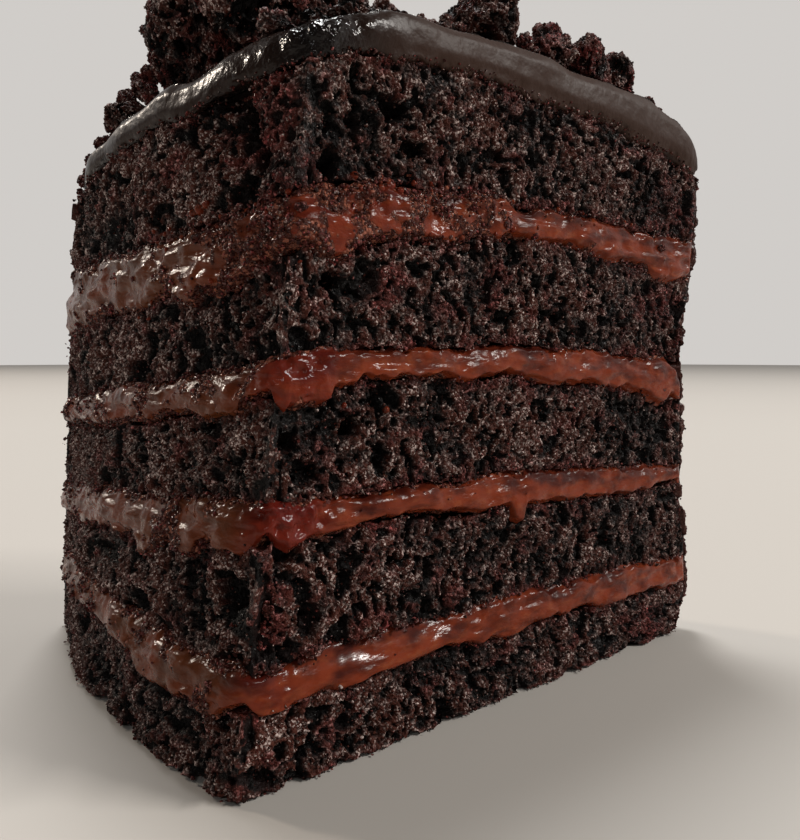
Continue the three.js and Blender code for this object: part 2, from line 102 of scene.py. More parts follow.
SPONGES = ["sponge_1", "sponge_2", "sponge_3", "sponge_4", "sponge_5"]
FILLINGS = ["filling_1", "filling_2", "filling_3", "filling_4"]
CHUNKS = [f"chunk_{number}" for number in range(1, 16)]
# Shown faces carry this material number while a mesh is cut finer
SHOWN = 1
# Points nearer than this, in metres, are one
MERGE = 2e-6
COARSER = 1.0
FEWER = 1
# The longest edge of the shown faces, in millimetres
SPONGE_EDGE = 0.38
FILLING_EDGE = 0.36
CHUNK_EDGE = 0.52
BED_EDGE = 0.8
GLAZE_EDGE = 0.9
COAT_EDGE = 1.0


def tone(code):
    """An sRGB hex colour as linear red, green, blue and alpha."""
    parts = [int(code[at : at + 2], 16) / 255 for at in (1, 3, 5)]
    linear = [c / 12.92 if c <= 0.04045 else ((c + 0.055) / 1.055) ** 2.4 for c in parts]
    return (*linear, 1.0)


def length_setting(name, description, millimetres):
    """A length that a user can change."""
    return bpy.props.FloatProperty(
        name=name, description=description, default=millimetres * MM, unit="LENGTH"
    )


def colour_setting(name, description, code):
    """A colour that a user can change."""
    return bpy.props.FloatVectorProperty(
        name=name, description=description, default=tone(code), size=4, subtype="COLOR"
    )


class CakeSettings(bpy.types.PropertyGroup):
    """Sizes and colours that a user would change."""

    grain: length_setting("Crumb grain", "Width of the round grains of the open crumb", 1.0)
    crag: length_setting("Crumb clumps", "Width of the clumps that the grains hang together in", 3.4)
    bulge: length_setting("Filling bulge", "How far the filling stands out between sponges", 0.9)
    sponge_colour: colour_setting("Sponge", "Moist dark cocoa sponge", "#48241b")
    # Painted highlights: the colour of the glints painted on single grains of crumb
    painted_glint_colour: colour_setting("Painted glints", "Glints painted on single grains of crumb", "#d4c2bb")
    reddish_colour: colour_setting("Reddish crumb", "Crumb that has taken up filling", "#4b1d18")
    filling_colour: colour_setting("Filling", "Red-brown chocolate filling", "#74301b")
    # The darkest filling colour, to the top of each filling layer, and in patches of the side coat
    filling_dark_colour: colour_setting("Filling, dark", "Where it is thick or soaked in", "#3a130c")
    glaze_colour: colour_setting("Glaze", "Near-black chocolate glaze", "#120e0d")
    glaze_cut_colour: colour_setting("Glaze, cut", "Where the knife went through", "#301c12")
    frosting_colour: colour_setting("Side coat", "Thin chocolate frosting on the rim", "#3f1f17")
    floor_colour: colour_setting("Floor", "Plain pale studio floor", "#aca7a1")
    window_power: bpy.props.FloatProperty(
        name="Window light",
        description="Power of the light behind the cake, to the left",
        default=60.0,
        unit="POWER",
    )


# Noise on points in millimetres


def cell_number(cell, seed):
    """One number from 0 to 1 for each whole-numbered cell."""
    mixed = (cell[..., 0] * 73856093) ^ (cell[..., 1] * 19349663) ^ (cell[..., 2] * 83492791)
    mixed = (mixed ^ (seed * 2654435761)) & 0xFFFFFFFF
    mixed = ((mixed ^ (mixed >> 15)) * 2246822519) & 0xFFFFFFFF
    mixed = ((mixed ^ (mixed >> 13)) * 3266489917) & 0xFFFFFFFF
    return (mixed ^ (mixed >> 16)) / 4294967296


def swell(points, size, seed):
    """Smooth noise from -1 to 1, its swells about SIZE apart. Each SEED is a pattern of its own."""
    place = points / size
    home = np.floor(place).astype(np.int64)
    part = place - home
    part = part * part * (3 - 2 * part)
    total = 0
    for step in itertools.product((0, 1), repeat=3):
        share = np.prod(np.where(step, part, 1 - part), axis=-1)
        total = total + share * cell_number(home + step, seed)
    return total * 2 - 1


def grains(points, size, seed):
    """Height of a heap of round grains over the surface, and the number of the grain on top."""
    place = points / size
    home = np.floor(place).astype(np.int64)
    best = np.zeros(len(points))
    number = np.zeros(len(points))
    for step in itertools.product((-1, 0, 1), repeat=3):
        cell = home + step
        centre = cell + np.stack([cell_number(cell, seed + axis) for axis in (1, 2, 3)], -1)
        own = cell_number(cell, seed + 4)
        reach = (0.42 + 0.36 * own) ** 2 - ((place - centre) ** 2).sum(-1)
        on_top = reach > best
        best = np.where(on_top, reach, best)
        number = np.where(on_top, own, number)
    return np.sqrt(best) * size, number


def ramp(value, low, high):
    """0 below LOW and 1 above HIGH, with a smooth rise between."""
    share = np.clip((value - low) / (high - low), 0, 1)
    return share * share * (3 - 2 * share)


def torn_relief(points, settings, seed):
    """How far torn crumb stands out in millimetres, and how high each point is from 0 to 1."""
    crag, _ = grains(points, settings.crag / MM, seed)
    grain, _ = grains(points, settings.grain / MM, seed + 12)
    fine, _ = grains(points, 0.55, seed + 26)
    height = 0.1 * crag + 0.5 * grain + 0.9 * fine
    height += 0.25 * swell(points, 5.0, seed + 34) + 0.25 * swell(points, 1.8, seed + 36)
    open_crumb = 0.35 + 0.75 * ramp(swell(points, 8.0, seed + 62), -0.2, 0.5)
    height -= 1.6 * ramp(swell(points, 3.6, seed + 40), 0.42, 0.64)
    height -= 1.3 * open_crumb * ramp(swell(points, 1.7, seed + 46), 0.3, 0.6)
    height -= 1.0 * ramp(swell(points, 0.95, seed + 52), 0.2, 0.55)
    height += 0.4 * swell(points, 11.0, seed + 58) - 0.75
    return height, ramp(height, -1.3, 0.5)


# Meshes


def faces_the_cut(face):
    """True for the faces that the knife left, on the long cut and on the short one."""
    return abs(face.normal.z) < 0.8 and min(face.normal.x, face.normal.y) < -0.45


def merged(node):
    """A bmesh of a CAD node with its loose triangles joined."""
    bm = bmesh.new()
    bm.from_mesh(frame["nodes"][node].data)
    bmesh.ops.remove_doubles(bm, verts=bm.verts, dist=MERGE)
    bm.normal_update()
    return bm


def cut_finer(bm, longest):
    """Halves the edges of the shown faces until none is longer than LONGEST millimetres."""
    while True:
        shown = [face for face in bm.faces if face.material_index == SHOWN]
        edges = {edge for face in shown for edge in face.edges if edge.calc_length() > longest * MM}
        if not edges:
            return
        bmesh.ops.subdivide_edges(bm, edges=list(edges), cuts=1)
        wide = [f for f in bm.faces if f.material_index == SHOWN and len(f.verts) > 3]
        bmesh.ops.triangulate(bm, faces=wide, quad_method="SHORT_EDGE")


def dense_copy(node, name, shown, longest):
    """A copy of a CAD node in triangles, with its shown faces cut finer."""
    bm = merged(node)
    for face in bm.faces:
        face.material_index = SHOWN if shown(face) else 0
    cut_finer(bm, longest * COARSER)
    bmesh.ops.triangulate(bm, faces=bm.faces)
    mesh = bpy.data.meshes.new(name)
    bm.to_mesh(mesh)
    bm.free()
    return mesh


def points_of(mesh):
    """The mesh's points, in millimetres."""
    flat = np.empty(len(mesh.vertices) * 3)
    mesh.vertices.foreach_get("co", flat)
    return flat.reshape(-1, 3) / MM


def normals_of(mesh):
    """The way out of the mesh at each point."""
    flat = np.empty(len(mesh.vertices) * 3, np.float32)
    mesh.vertices.foreach_get("normal", flat)
    return flat.reshape(-1, 3).astype(float)


def corners_of(mesh):
    """The three points of each triangle, by number."""
    flat = np.empty(len(mesh.loops), np.int32)
    mesh.loops.foreach_get("vertex_index", flat)
    return flat.reshape(-1, 3)


def write_points(mesh, points):
    """Writes the points back in metres."""
    mesh.vertices.foreach_set("co", (points * MM).ravel())
    mesh.update()


def place_points(mesh, points):
    """Writes the points back, eased back from the sides of the CAD model's box."""
    low = BOX_LOW + BOX_GAP
    high = BOX_HIGH - BOX_GAP
    kept = np.where(points < low + BOX_EASE, low + ease(points - low), points)
    write_points(mesh, np.where(kept > high - BOX_EASE, high - ease(high - kept), kept))


def ease(room):
    """Millimetres of room, never below 0, that change little from BOX_EASE up."""
    return BOX_EASE * np.exp(np.minimum(room - BOX_EASE, 0) / BOX_EASE)


def shown_points(mesh):
    """1 for the points of a shown face and 0 for the others."""
    kind = np.empty(len(mesh.polygons), np.int32)
    mesh.polygons.foreach_get("material_index", kind)
    corners = corners_of(mesh)[kind == SHOWN]
    return (np.bincount(corners.ravel(), minlength=len(mesh.vertices)) > 0).astype(float)


def softened(mesh, points, weight, rounds):
    """Each point moved towards the middle of its neighbours, a number of times."""
    pairs = np.empty(len(mesh.edges) * 2, np.int32)
    mesh.edges.foreach_get("vertices", pairs)
    one, other = pairs.reshape(-1, 2).T
    count = len(points)
    near = np.bincount(one, minlength=count) + np.bincount(other, minlength=count)
    points = points.copy()
    for _ in range(rounds):
        middle = np.stack(
            [
                np.bincount(one, points[other, axis], count)
                + np.bincount(other, points[one, axis], count)
                for axis in range(3)
            ],
            -1,
        )
        middle /= near[:, None]
        points += (middle - points) * weight[:, None]
    return points


def keep_number(mesh, name, values):
    """Keeps one number for each point, which the material reads."""
    layer = mesh.attributes.new(name, "FLOAT", "POINT")
    layer.data.foreach_set("value", np.asarray(values, np.float32))


def number_of(mesh, name):
    """Reads the numbers that keep_number kept."""
    values = np.empty(len(mesh.vertices), np.float32)
    mesh.attributes[name].data.foreach_get("value", values)
    return values


def add_piece(mesh, material, nodes=(), smooth=True):
    """Shows a mesh as a piece of the cake, in place of the CAD nodes it stands for."""
    mesh.materials.clear()
    mesh.materials.append(material)
    count = len(mesh.polygons)
    mesh.polygons.foreach_set("material_index", np.zeros(count, np.int32))
    mesh.polygons.foreach_set("use_smooth", np.full(count, smooth))
    mesh.update()
    piece = bpy.data.objects.new(mesh.name, mesh)
    bpy.context.scene.collection.objects.link(piece)
    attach(piece, "root")
    if nodes:
        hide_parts(*nodes)
    return piece


# Places on the two cuts


def along_cut(points):
    """Millimetres from the front corner: to the right on the long cut, less than 0 on the short."""
    right = points[:, 0] - FRONT_CORNER[0] - CORNER_LEAN * points[:, 2]
    back = points[:, 1] - FRONT_CORNER[1]
    turned = ramp(right - back, -CORNER_TURN, CORNER_TURN)
    return right * turned - back * (1 - turned)


# Millimetres between the stations of a line along the cut
STATION_STEP = 0.25


def smoothed(values, width):
    """Running mean with a bell's weights; the ends run on in a straight line."""
    reach = int(3 * width / STATION_STEP)
    bell = np.exp(-0.5 * (np.arange(-reach, reach + 1) * STATION_STEP / width) ** 2)
    head = 2 * values[0] - values[reach:0:-1]
    tail = 2 * values[-1] - values[-2 : -reach - 2 : -1]
    return np.convolve(np.concatenate([head, values, tail]), bell / bell.sum(), "valid")


# How far the edges of the cut faces are smoothed along the cut, in millimetres
SPONGE_ROUNDING = 2.0
FILLING_ROUNDING = 2.2


class CutLine:
    """The lower and upper edge of a node's cut faces, as smooth lines along the cut."""

    def __init__(self, node, rounding):
        bm = merged(node)
        edges = {-1: [], 1: []}
        for vert in bm.verts:
            walls = [face for face in vert.link_faces if faces_the_cut(face)]
            caps = [f for f in vert.link_faces if not faces_the_cut(f) and abs(f.normal.z) > 0.15]
            if walls and caps:
                side = 1 if sum(face.normal.z for face in caps) > 0 else -1
                edges[side].append(np.array(vert.co) / MM)
        bm.free()
        self.ends = []
        self.lines = []
        ordered = []
        for side in (-1, 1):
            ring = np.array(edges[side])
            where = along_cut(ring)
            order = np.argsort(where)
            ordered.append((where[order], ring[order]))
            self.ends.append((where.min(), where.max()))
        first = max(end[0] for end in self.ends)
        last = min(end[1] for end in self.ends)
        self.stations = np.arange(first, last, STATION_STEP)
        for where, ring in ordered:
            line = [np.interp(self.stations, where, ring[:, axis]) for axis in range(3)]
            self.lines.append(np.stack([smoothed(axis, rounding) for axis in line], -1))
        middle = (self.lines[0] + self.lines[1])[:, :2] / 2
        way = np.gradient(middle, axis=0)
        way /= np.linalg.norm(way, axis=1, keepdims=True)
        self.out_of_cut = np.stack([way[:, 1], -way[:, 0]], -1)

    def at(self, where, values):
        """Reads a line's values at places along the cut."""
        return np.stack([np.interp(where, self.stations, axis) for axis in values.T], -1)

    def outward(self, where):
        """The level direction straight out of the cut."""
        way = self.at(where, self.out_of_cut)
        return way / np.linalg.norm(way, axis=1, keepdims=True)

    def height_share(self, points, where):
        """0 at the lower edge and 1 at the upper one."""
        low, high = (np.interp(where, self.stations, line[:, 2]) for line in self.lines)
        return np.clip((points[:, 2] - low) / (high - low), 0, 1)

    def end_room(self, where, share):
        """Millimetres to the nearer end of the cut, at the rim."""
        (low_first, low_last), (high_first, high_last) = self.ends
        first = low_first + (high_first - low_first) * share
        last = low_last + (high_last - low_last) * share
        return np.minimum(where - first, last - where)


def places_on_cut(line, points):
    """Each point's place along the cut and share of its height, and 0 at the cut's two ends."""
    where = along_cut(points)
    share = line.height_share(points, where)
    return where, share, ramp(line.end_room(where, share), 0.2, 2.0)


def far_from(points, where, at, level, wide, tall):
    """0 at the middle of a spot on the cut faces and 1 on its outline, an ellipse."""
    return ((where - at) / wide) ** 2 + ((points[:, 2] - level) / tall) ** 2


# The share of a layer's height that lies beside a seam
SEAM = 0.16


def beside_seam(share):
    """1 at the two edges of a layer's cut face, 0 at SEAM from them and less in the middle."""
    return np.maximum(1 - share / SEAM, (share - (1 - SEAM)) / SEAM)


def on_line(where):
    """Places along the cut as points, for noise that is the same from seam to seam."""
    return np.stack([where, np.zeros_like(where), np.zeros_like(where)], -1)


# Materials


# Settings that many nodes share: a smooth rise, and a mix of colours with its output
SMOOTH = {"interpolation_type": "SMOOTHSTEP"}
RGBA = {"out": 2, "data_type": "RGBA"}


def add_node(tree, kind, inputs=None, out=0, **settings):
    """Adds a node, sets it, fills its sockets with values or links, and gives its output."""
    node = tree.nodes.new(kind)
    for name, value in settings.items():
        setattr(node, name, value)
    for socket, value in (inputs or {}).items():
        if isinstance(value, bpy.types.NodeSocket):
            tree.links.new(value, node.inputs[socket])
        else:
            node.inputs[socket].default_value = value
    return node.outputs[out] if node.outputs else None


def new_material(name):
    """An empty material with its tree and the object's own coordinates."""
    material = bpy.data.materials.new(name)
    material.use_nodes = True
    tree = material.node_tree
    tree.nodes.clear()
    return material, tree, add_node(tree, "ShaderNodeTexCoord", out="Object")


def finished(material, tree, look):
    """The material with its surface."""
    shader = add_node(tree, "ShaderNodeBsdfPrincipled", look)
    add_node(tree, "ShaderNodeOutputMaterial", {"Surface": shader})
    return material


def stuck_crumbs(tree, place, size, much):
    """Crumbs of SIZE millimetres: each one's own number, how much of it shows, and its relief."""
    cell_far = {"Vector": place, "Scale": 1 / (size * MM)}
    cell = add_node(tree, "ShaderNodeTexVoronoi", cell_far, out="Color")
    own = add_node(tree, "ShaderNodeSeparateColor", {"Color": cell}, out="Red")
    stuck = add_node(tree, "ShaderNodeMath", {0: own, 1: 0.5, 2: much}, operation="MULTIPLY_ADD")
    stuck = add_node(
        tree, "ShaderNodeMapRange", {"Value": stuck, "From Min": 0.6, "From Max": 0.8}, **SMOOTH
    )
    return own, stuck, add_node(tree, "ShaderNodeTexVoronoi", cell_far, out="Distance")


# The share of reddish crumb in each sponge material
REDNESS = {"open_cocoa_crumb": 0.8, "torn_cocoa_crumb": 1.0}


def crumb_material(name, settings):
    """Moist cocoa sponge, torn open: matt, almost black grains with small wet glints, some of them
    painted highlights, and painted shade darkening its hollows.
    """
    material, tree, place = new_material(name)
    high = add_node(tree, "ShaderNodeAttribute", out="Fac", attribute_name="high")
    soaked = add_node(tree, "ShaderNodeAttribute", out="Fac", attribute_name="soaked")
    patch = add_node(tree, "ShaderNodeTexNoise", {"Vector": place, "Scale": 1 / (5 * MM), "Detail": 3.0})
    mottle = add_node(
        tree, "ShaderNodeTexNoise", {"Vector": place, "Scale": 1 / (1.6 * MM), "Detail": 2.0}
    )
    # Grains of 0.32 mm, each with its own gloss and its own share of painted glint
    cell_far = {"Vector": place, "Scale": 1 / (0.32 * MM)}
    cell = add_node(tree, "ShaderNodeTexVoronoi", cell_far, out="Color")
    painted_glint_share = add_node(tree, "ShaderNodeSeparateColor", {"Color": cell}, out="Red")
    wet = add_node(tree, "ShaderNodeSeparateColor", {"Color": cell}, out="Green")
    # Painted shade: the colour runs from near black at the low points of the relief, in its hollows and
    # holes, up to the crumb's own colour at the high points
    rise = add_node(
        tree, "ShaderNodeMapRange", {"Value": high, "From Min": 0.1, "From Max": 0.9}, **SMOOTH
    )
    base = add_node(
        tree, "ShaderNodeMix", {0: rise, 6: tone("#080505"), 7: settings.sponge_colour}, **RGBA
    )
    red = add_node(
        tree,
        "ShaderNodeMapRange",
        {"Value": patch, "From Min": 0.53, "From Max": 0.68, "To Max": REDNESS[name]},
        **SMOOTH,
    )
    red = add_node(tree, "ShaderNodeMath", {0: red, 1: soaked}, operation="ADD", use_clamp=True)
    # The same painted shade on the reddish crumb
    reddish = add_node(
        tree, "ShaderNodeMix", {0: rise, 6: tone("#140706"), 7: settings.reddish_colour}, **RGBA
    )
    base = add_node(tree, "ShaderNodeMix", {0: red, 6: base, 7: reddish}, **RGBA)
    # Painted highlights: the glint colour, redder on soaked crumb
    painted_glint_tone = add_node(
        tree, "ShaderNodeMix", {0: red, 6: settings.painted_glint_colour, 7: tone("#a4504f")}, **RGBA
    )
    # Only some grains get a painted glint, in patches that pass for lit ones, and only on high grains,
    # away from the painted shade
    painted_glint_share = add_node(tree, "ShaderNodeMapRange", {"Value": painted_glint_share, "From Min": 0.62, "From Max": 1.0})
    lit = add_node(
        tree, "ShaderNodeMapRange", {"Value": mottle, "From Min": 0.36, "From Max": 0.56}, **SMOOTH
    )
    painted_glint_share = add_node(tree, "ShaderNodeMath", {0: painted_glint_share, 1: lit}, operation="MULTIPLY")
    painted_glint_share = add_node(tree, "ShaderNodeMath", {0: painted_glint_share, 1: rise}, operation="MULTIPLY")
    colour = add_node(tree, "ShaderNodeMix", {0: painted_glint_share, 6: base, 7: painted_glint_tone}, **RGBA)
    gloss = add_node(
        tree,
        "ShaderNodeMapRange",
        {"Value": wet, "From Min": 0.6, "From Max": 1.0, "To Min": 0.62, "To Max": 0.22},
    )
    round_grain = add_node(tree, "ShaderNodeTexVoronoi", cell_far, out="Distance")
    relief = add_node(tree, "ShaderNodeBump", {"Height": round_grain, "Distance": -0.14 * MM})
    relief = add_node(tree, "ShaderNodeBump", {"Height": mottle, "Distance": 0.35 * MM, "Normal": relief})
    look = {"Base Color": colour, "Roughness": gloss, "Normal": relief}
    return finished(material, tree, {**look, "IOR": 1.42, "Specular IOR Level": 0.2})


def filling_material(name, settings):
    """Set ganache between the sponges: satin gloss, red-brown, dragged by the knife."""
    material, tree, place = new_material(name)
    crumby, rise, lumpy, sleek, dragged = (
        add_node(tree, "ShaderNodeAttribute", out="Fac", attribute_name=kept)
        for kept in ("crumby", "rise", "lumpy", "sleek", "dragged")
    )
    level = add_node(tree, "ShaderNodeMapping", {"Vector": place, "Scale": (0.5, 0.5, 1.0)})
    patch = add_node(
        tree, "ShaderNodeTexNoise", {"Vector": level, "Scale": 1 / (2.8 * MM), "Detail": 4.0}
    )
    streak = add_node(
        tree, "ShaderNodeTexNoise", {"Vector": level, "Scale": 1 / (1.1 * MM), "Detail": 3.0}
    )
    # Darker and redder to the top of the layer, and lighter below
    thick = add_node(tree, "ShaderNodeMath", {0: rise, 1: -0.3, 2: patch}, operation="MULTIPLY_ADD")
    thick = add_node(
        tree, "ShaderNodeMapRange", {"Value": thick, "From Min": 0.1, "From Max": 0.5}, **SMOOTH
    )
    colour = add_node(
        tree,
        "ShaderNodeMix",
        {0: thick, 6: settings.filling_dark_colour, 7: settings.filling_colour},
        **RGBA,
    )
    pale = add_node(
        tree,
        "ShaderNodeMapRange",
        {"Value": streak, "From Min": 0.48, "From Max": 0.7, "To Max": 0.35},
        **SMOOTH,
    )
    pale = add_node(tree, "ShaderNodeMath", {0: pale, 1: thick}, operation="MULTIPLY")
    deep = add_node(tree, "ShaderNodeMath", {0: lumpy, 1: 0.75}, operation="MULTIPLY")
    soak = add_node(tree, "ShaderNodeMath", {0: crumby, 1: 0.85}, operation="MULTIPLY")
    # Paler streaks; browner and darker over the short cut, partly where the knife dragged it thin
    # and partly painted shade on that side; deep red where it has run together at the corner, and
    # dark where it is full of crumb
    tints = ((pale, "#8a4a2a"), (dragged, "#4f2e1a"), (deep, "#571611"), (soak, "#3a160f"))
    for share, code in tints:
        colour = add_node(tree, "ShaderNodeMix", {0: share, 6: colour, 7: tone(code)}, **RGBA)
    # Crumbs of 0.5 mm stuck in the filling where it has been dragged through the sponge
    own, stuck, cell_high = stuck_crumbs(tree, place, 0.5, crumby)
    own_bright = add_node(
        tree, "ShaderNodeMapRange", {"Value": own, "From Min": 0.55, "From Max": 1.0}, **SMOOTH
    )
    crumb = add_node(
        tree, "ShaderNodeMix", {0: own_bright, 6: tone("#3a1a13"), 7: tone("#86503f")}, **RGBA
    )
    colour = add_node(tree, "ShaderNodeMix", {0: stuck, 6: colour, 7: crumb}, **RGBA)
    gloss = add_node(
        tree,
        "ShaderNodeMapRange",
        {"Value": patch, "From Min": 0.35, "From Max": 0.62, "To Min": 0.34, "To Max": 0.16},
    )
    gloss = add_node(tree, "ShaderNodeMix", {0: stuck, 2: gloss, 3: 0.2}, data_type="FLOAT")
    # The knife left the rounded lips smooth and wet
    smooth = add_node(tree, "ShaderNodeMath", {0: sleek, 1: lumpy}, operation="MAXIMUM")
    gloss = add_node(tree, "ShaderNodeMix", {0: smooth, 2: gloss, 3: 0.12}, data_type="FLOAT")
    wavy = add_node(tree, "ShaderNodeMapRange", {"Value": sleek, "To Min": 1.0, "To Max": 0.12})
    streak = add_node(tree, "ShaderNodeMath", {0: streak, 1: wavy}, operation="MULTIPLY")
    relief = add_node(tree, "ShaderNodeBump", {"Height": streak, "Distance": 0.28 * MM})
    grainy = add_node(tree, "ShaderNodeMath", {0: lumpy, 1: 0.15, 2: stuck}, operation="MULTIPLY_ADD")
    cell_high = add_node(tree, "ShaderNodeMath", {0: cell_high, 1: grainy}, operation="MULTIPLY")
    relief = add_node(
        tree, "ShaderNodeBump", {"Height": cell_high, "Distance": -0.3 * MM, "Normal": relief}
    )
    look = {"Base Color": colour, "Roughness": gloss, "Normal": relief}
    return finished(material, tree, {**look, "IOR": 1.46, "Specular IOR Level": 0.15})


def glaze_material(name, settings):
    """Poured dark glaze: wet gloss on top, satin where the knife went through."""
    material, tree, place = new_material(name)
    cut = add_node(tree, "ShaderNodeAttribute", out="Fac", attribute_name="cut")
    patch = add_node(tree, "ShaderNodeTexNoise", {"Vector": place, "Scale": 1 / (5 * MM), "Detail": 4.0})
    colour = add_node(
        tree, "ShaderNodeMix", {0: cut, 6: settings.glaze_colour, 7: settings.glaze_cut_colour}, **RGBA
    )
    gloss = add_node(tree, "ShaderNodeMapRange", {"Value": cut, "To Min": 0.1, "To Max": 0.5}, **SMOOTH)
    # The knife leaves upright lines about 2.5 mm apart in the cut glaze
    upright = add_node(tree, "ShaderNodeMapping", {"Vector": place, "Scale": (1.0, 1.0, 0.25)})
    line = add_node(
        tree, "ShaderNodeTexNoise", {"Vector": upright, "Scale": 1 / (2.5 * MM), "Detail": 2.0}
    )
    line = add_node(tree, "ShaderNodeMath", {0: line, 1: cut}, operation="MULTIPLY")
    relief = add_node(tree, "ShaderNodeBump", {"Height": line, "Distance": 0.18 * MM})
    relief = add_node(tree, "ShaderNodeBump", {"Height": patch, "Distance": 0.5 * MM, "Normal": relief})
    # Wrinkles of 2.4 mm in the skin of the glossy top
    wrinkle = add_node(
        tree, "ShaderNodeTexNoise", {"Vector": place, "Scale": 1 / (2.4 * MM), "Detail": 3.0}
    )
    skin = add_node(
        tree, "ShaderNodeMapRange", {"Value": cut, "From Max": 0.5, "To Min": 1.0, "To Max": 0.1}
    )
    wrinkle = add_node(tree, "ShaderNodeMath", {0: wrinkle, 1: skin}, operation="MULTIPLY")
    relief = add_node(tree, "ShaderNodeBump", {"Height": wrinkle, "Distance": 1.4 * MM, "Normal": relief})
    look = {"Base Color": colour, "Roughness": gloss, "Normal": relief}
    return finished(material, tree, {**look, "IOR": 1.47, "Specular IOR Level": 0.18})


def frosting_material(name, settings):
    """Thin frosting on the rim: soft gloss, drag lines from the knife, crumb showing through."""
    material, tree, place = new_material(name)
    thin = add_node(tree, "ShaderNodeAttribute", out="Fac", attribute_name="thin")
    patch = add_node(tree, "ShaderNodeTexNoise", {"Vector": place, "Scale": 1 / (8 * MM), "Detail": 3.0})
    share = add_node(
        tree, "ShaderNodeMapRange", {"Value": patch, "From Min": 0.38, "From Max": 0.66}, **SMOOTH
    )
    colour = add_node(
        tree,
        "ShaderNodeMix",
        {0: share, 6: settings.frosting_colour, 7: settings.filling_dark_colour},
        **RGBA,
    )
    # Crumbs of 0.6 mm that the knife picked up, where the frosting is thin
    _, stuck, cell_high = stuck_crumbs(tree, place, 0.6, thin)
    colour = add_node(tree, "ShaderNodeMix", {0: stuck, 6: colour, 7: settings.sponge_colour}, **RGBA)
    level = add_node(tree, "ShaderNodeMapping", {"Vector": place, "Scale": (0.15, 0.15, 1.0)})
    drag = add_node(tree, "ShaderNodeTexNoise", {"Vector": level, "Scale": 1 / (1.2 * MM), "Detail": 3.0})
    relief = add_node(tree, "ShaderNodeBump", {"Height": drag, "Distance": 0.4 * MM})
    cell_high = add_node(tree, "ShaderNodeMath", {0: cell_high, 1: stuck}, operation="MULTIPLY")
    relief = add_node(
        tree, "ShaderNodeBump", {"Height": cell_high, "Distance": -0.3 * MM, "Normal": relief}
    )
    gloss = add_node(tree, "ShaderNodeMapRange", {"Value": patch, "To Min": 0.3, "To Max": 0.55})
    look = {"Base Color": colour, "Roughness": gloss, "Normal": relief}
    return finished(material, tree, {**look, "IOR": 1.46, "Specular IOR Level": 0.3})


def floor_material(name, settings):
    """Painted studio floor: plain, pale and matt."""
    material, tree, place = new_material(name)
    cloud = add_node(tree, "ShaderNodeTexNoise", {"Vector": place, "Scale": 2.5})
    colour = add_node(
        tree, "ShaderNodeMix", {0: cloud, 6: settings.floor_colour, 7: tone("#aeaaa4")}, **RGBA
    )
    return finished(material, tree, {"Base Color": colour, "Roughness": 0.8})


def material_called(name, make, settings):
    """The material of that name, made on first use."""
    return bpy.data.materials.get(name) or make(name, settings)


# Pieces


# The lights: name, place and width and height in metres, share of the window's power, colour
LIGHTS = (
    ("window_light", (-1.3, 2.7, 1.8), (0.32, 0.32), 0.66, "#fff0e0"),
    ("top_light", (0.4, 1.0, 3.2), (0.9, 0.9), 1.4, "#ffffff"),
    ("right_light", (1.65, -1.95, 2.0), (1.1, 0.1), 1.35, "#fffaf4"),
    ("corner_light", (-1.4, -1.6, 1.4), (0.12, 0.12), 0.09, "#ffffff"),
)
LIGHTS_AIM = Vector((-0.02, -0.02, 0.07))

# The camera fitted to the photo's outline: metres from the foot of the corner, lens and film
# width in millimetres, and its turns in degrees
CAMERA_FROM_CORNER = Vector((-0.0534, -0.1008, 0.0659))
LENS = 34.76
FILM_WIDTH = 36.0
CAMERA_TURNS = (85.12, 0.0, -40.0)
FLOOR_RADIUS = 4.0
FLOOR_GAP = 0.3 * MM


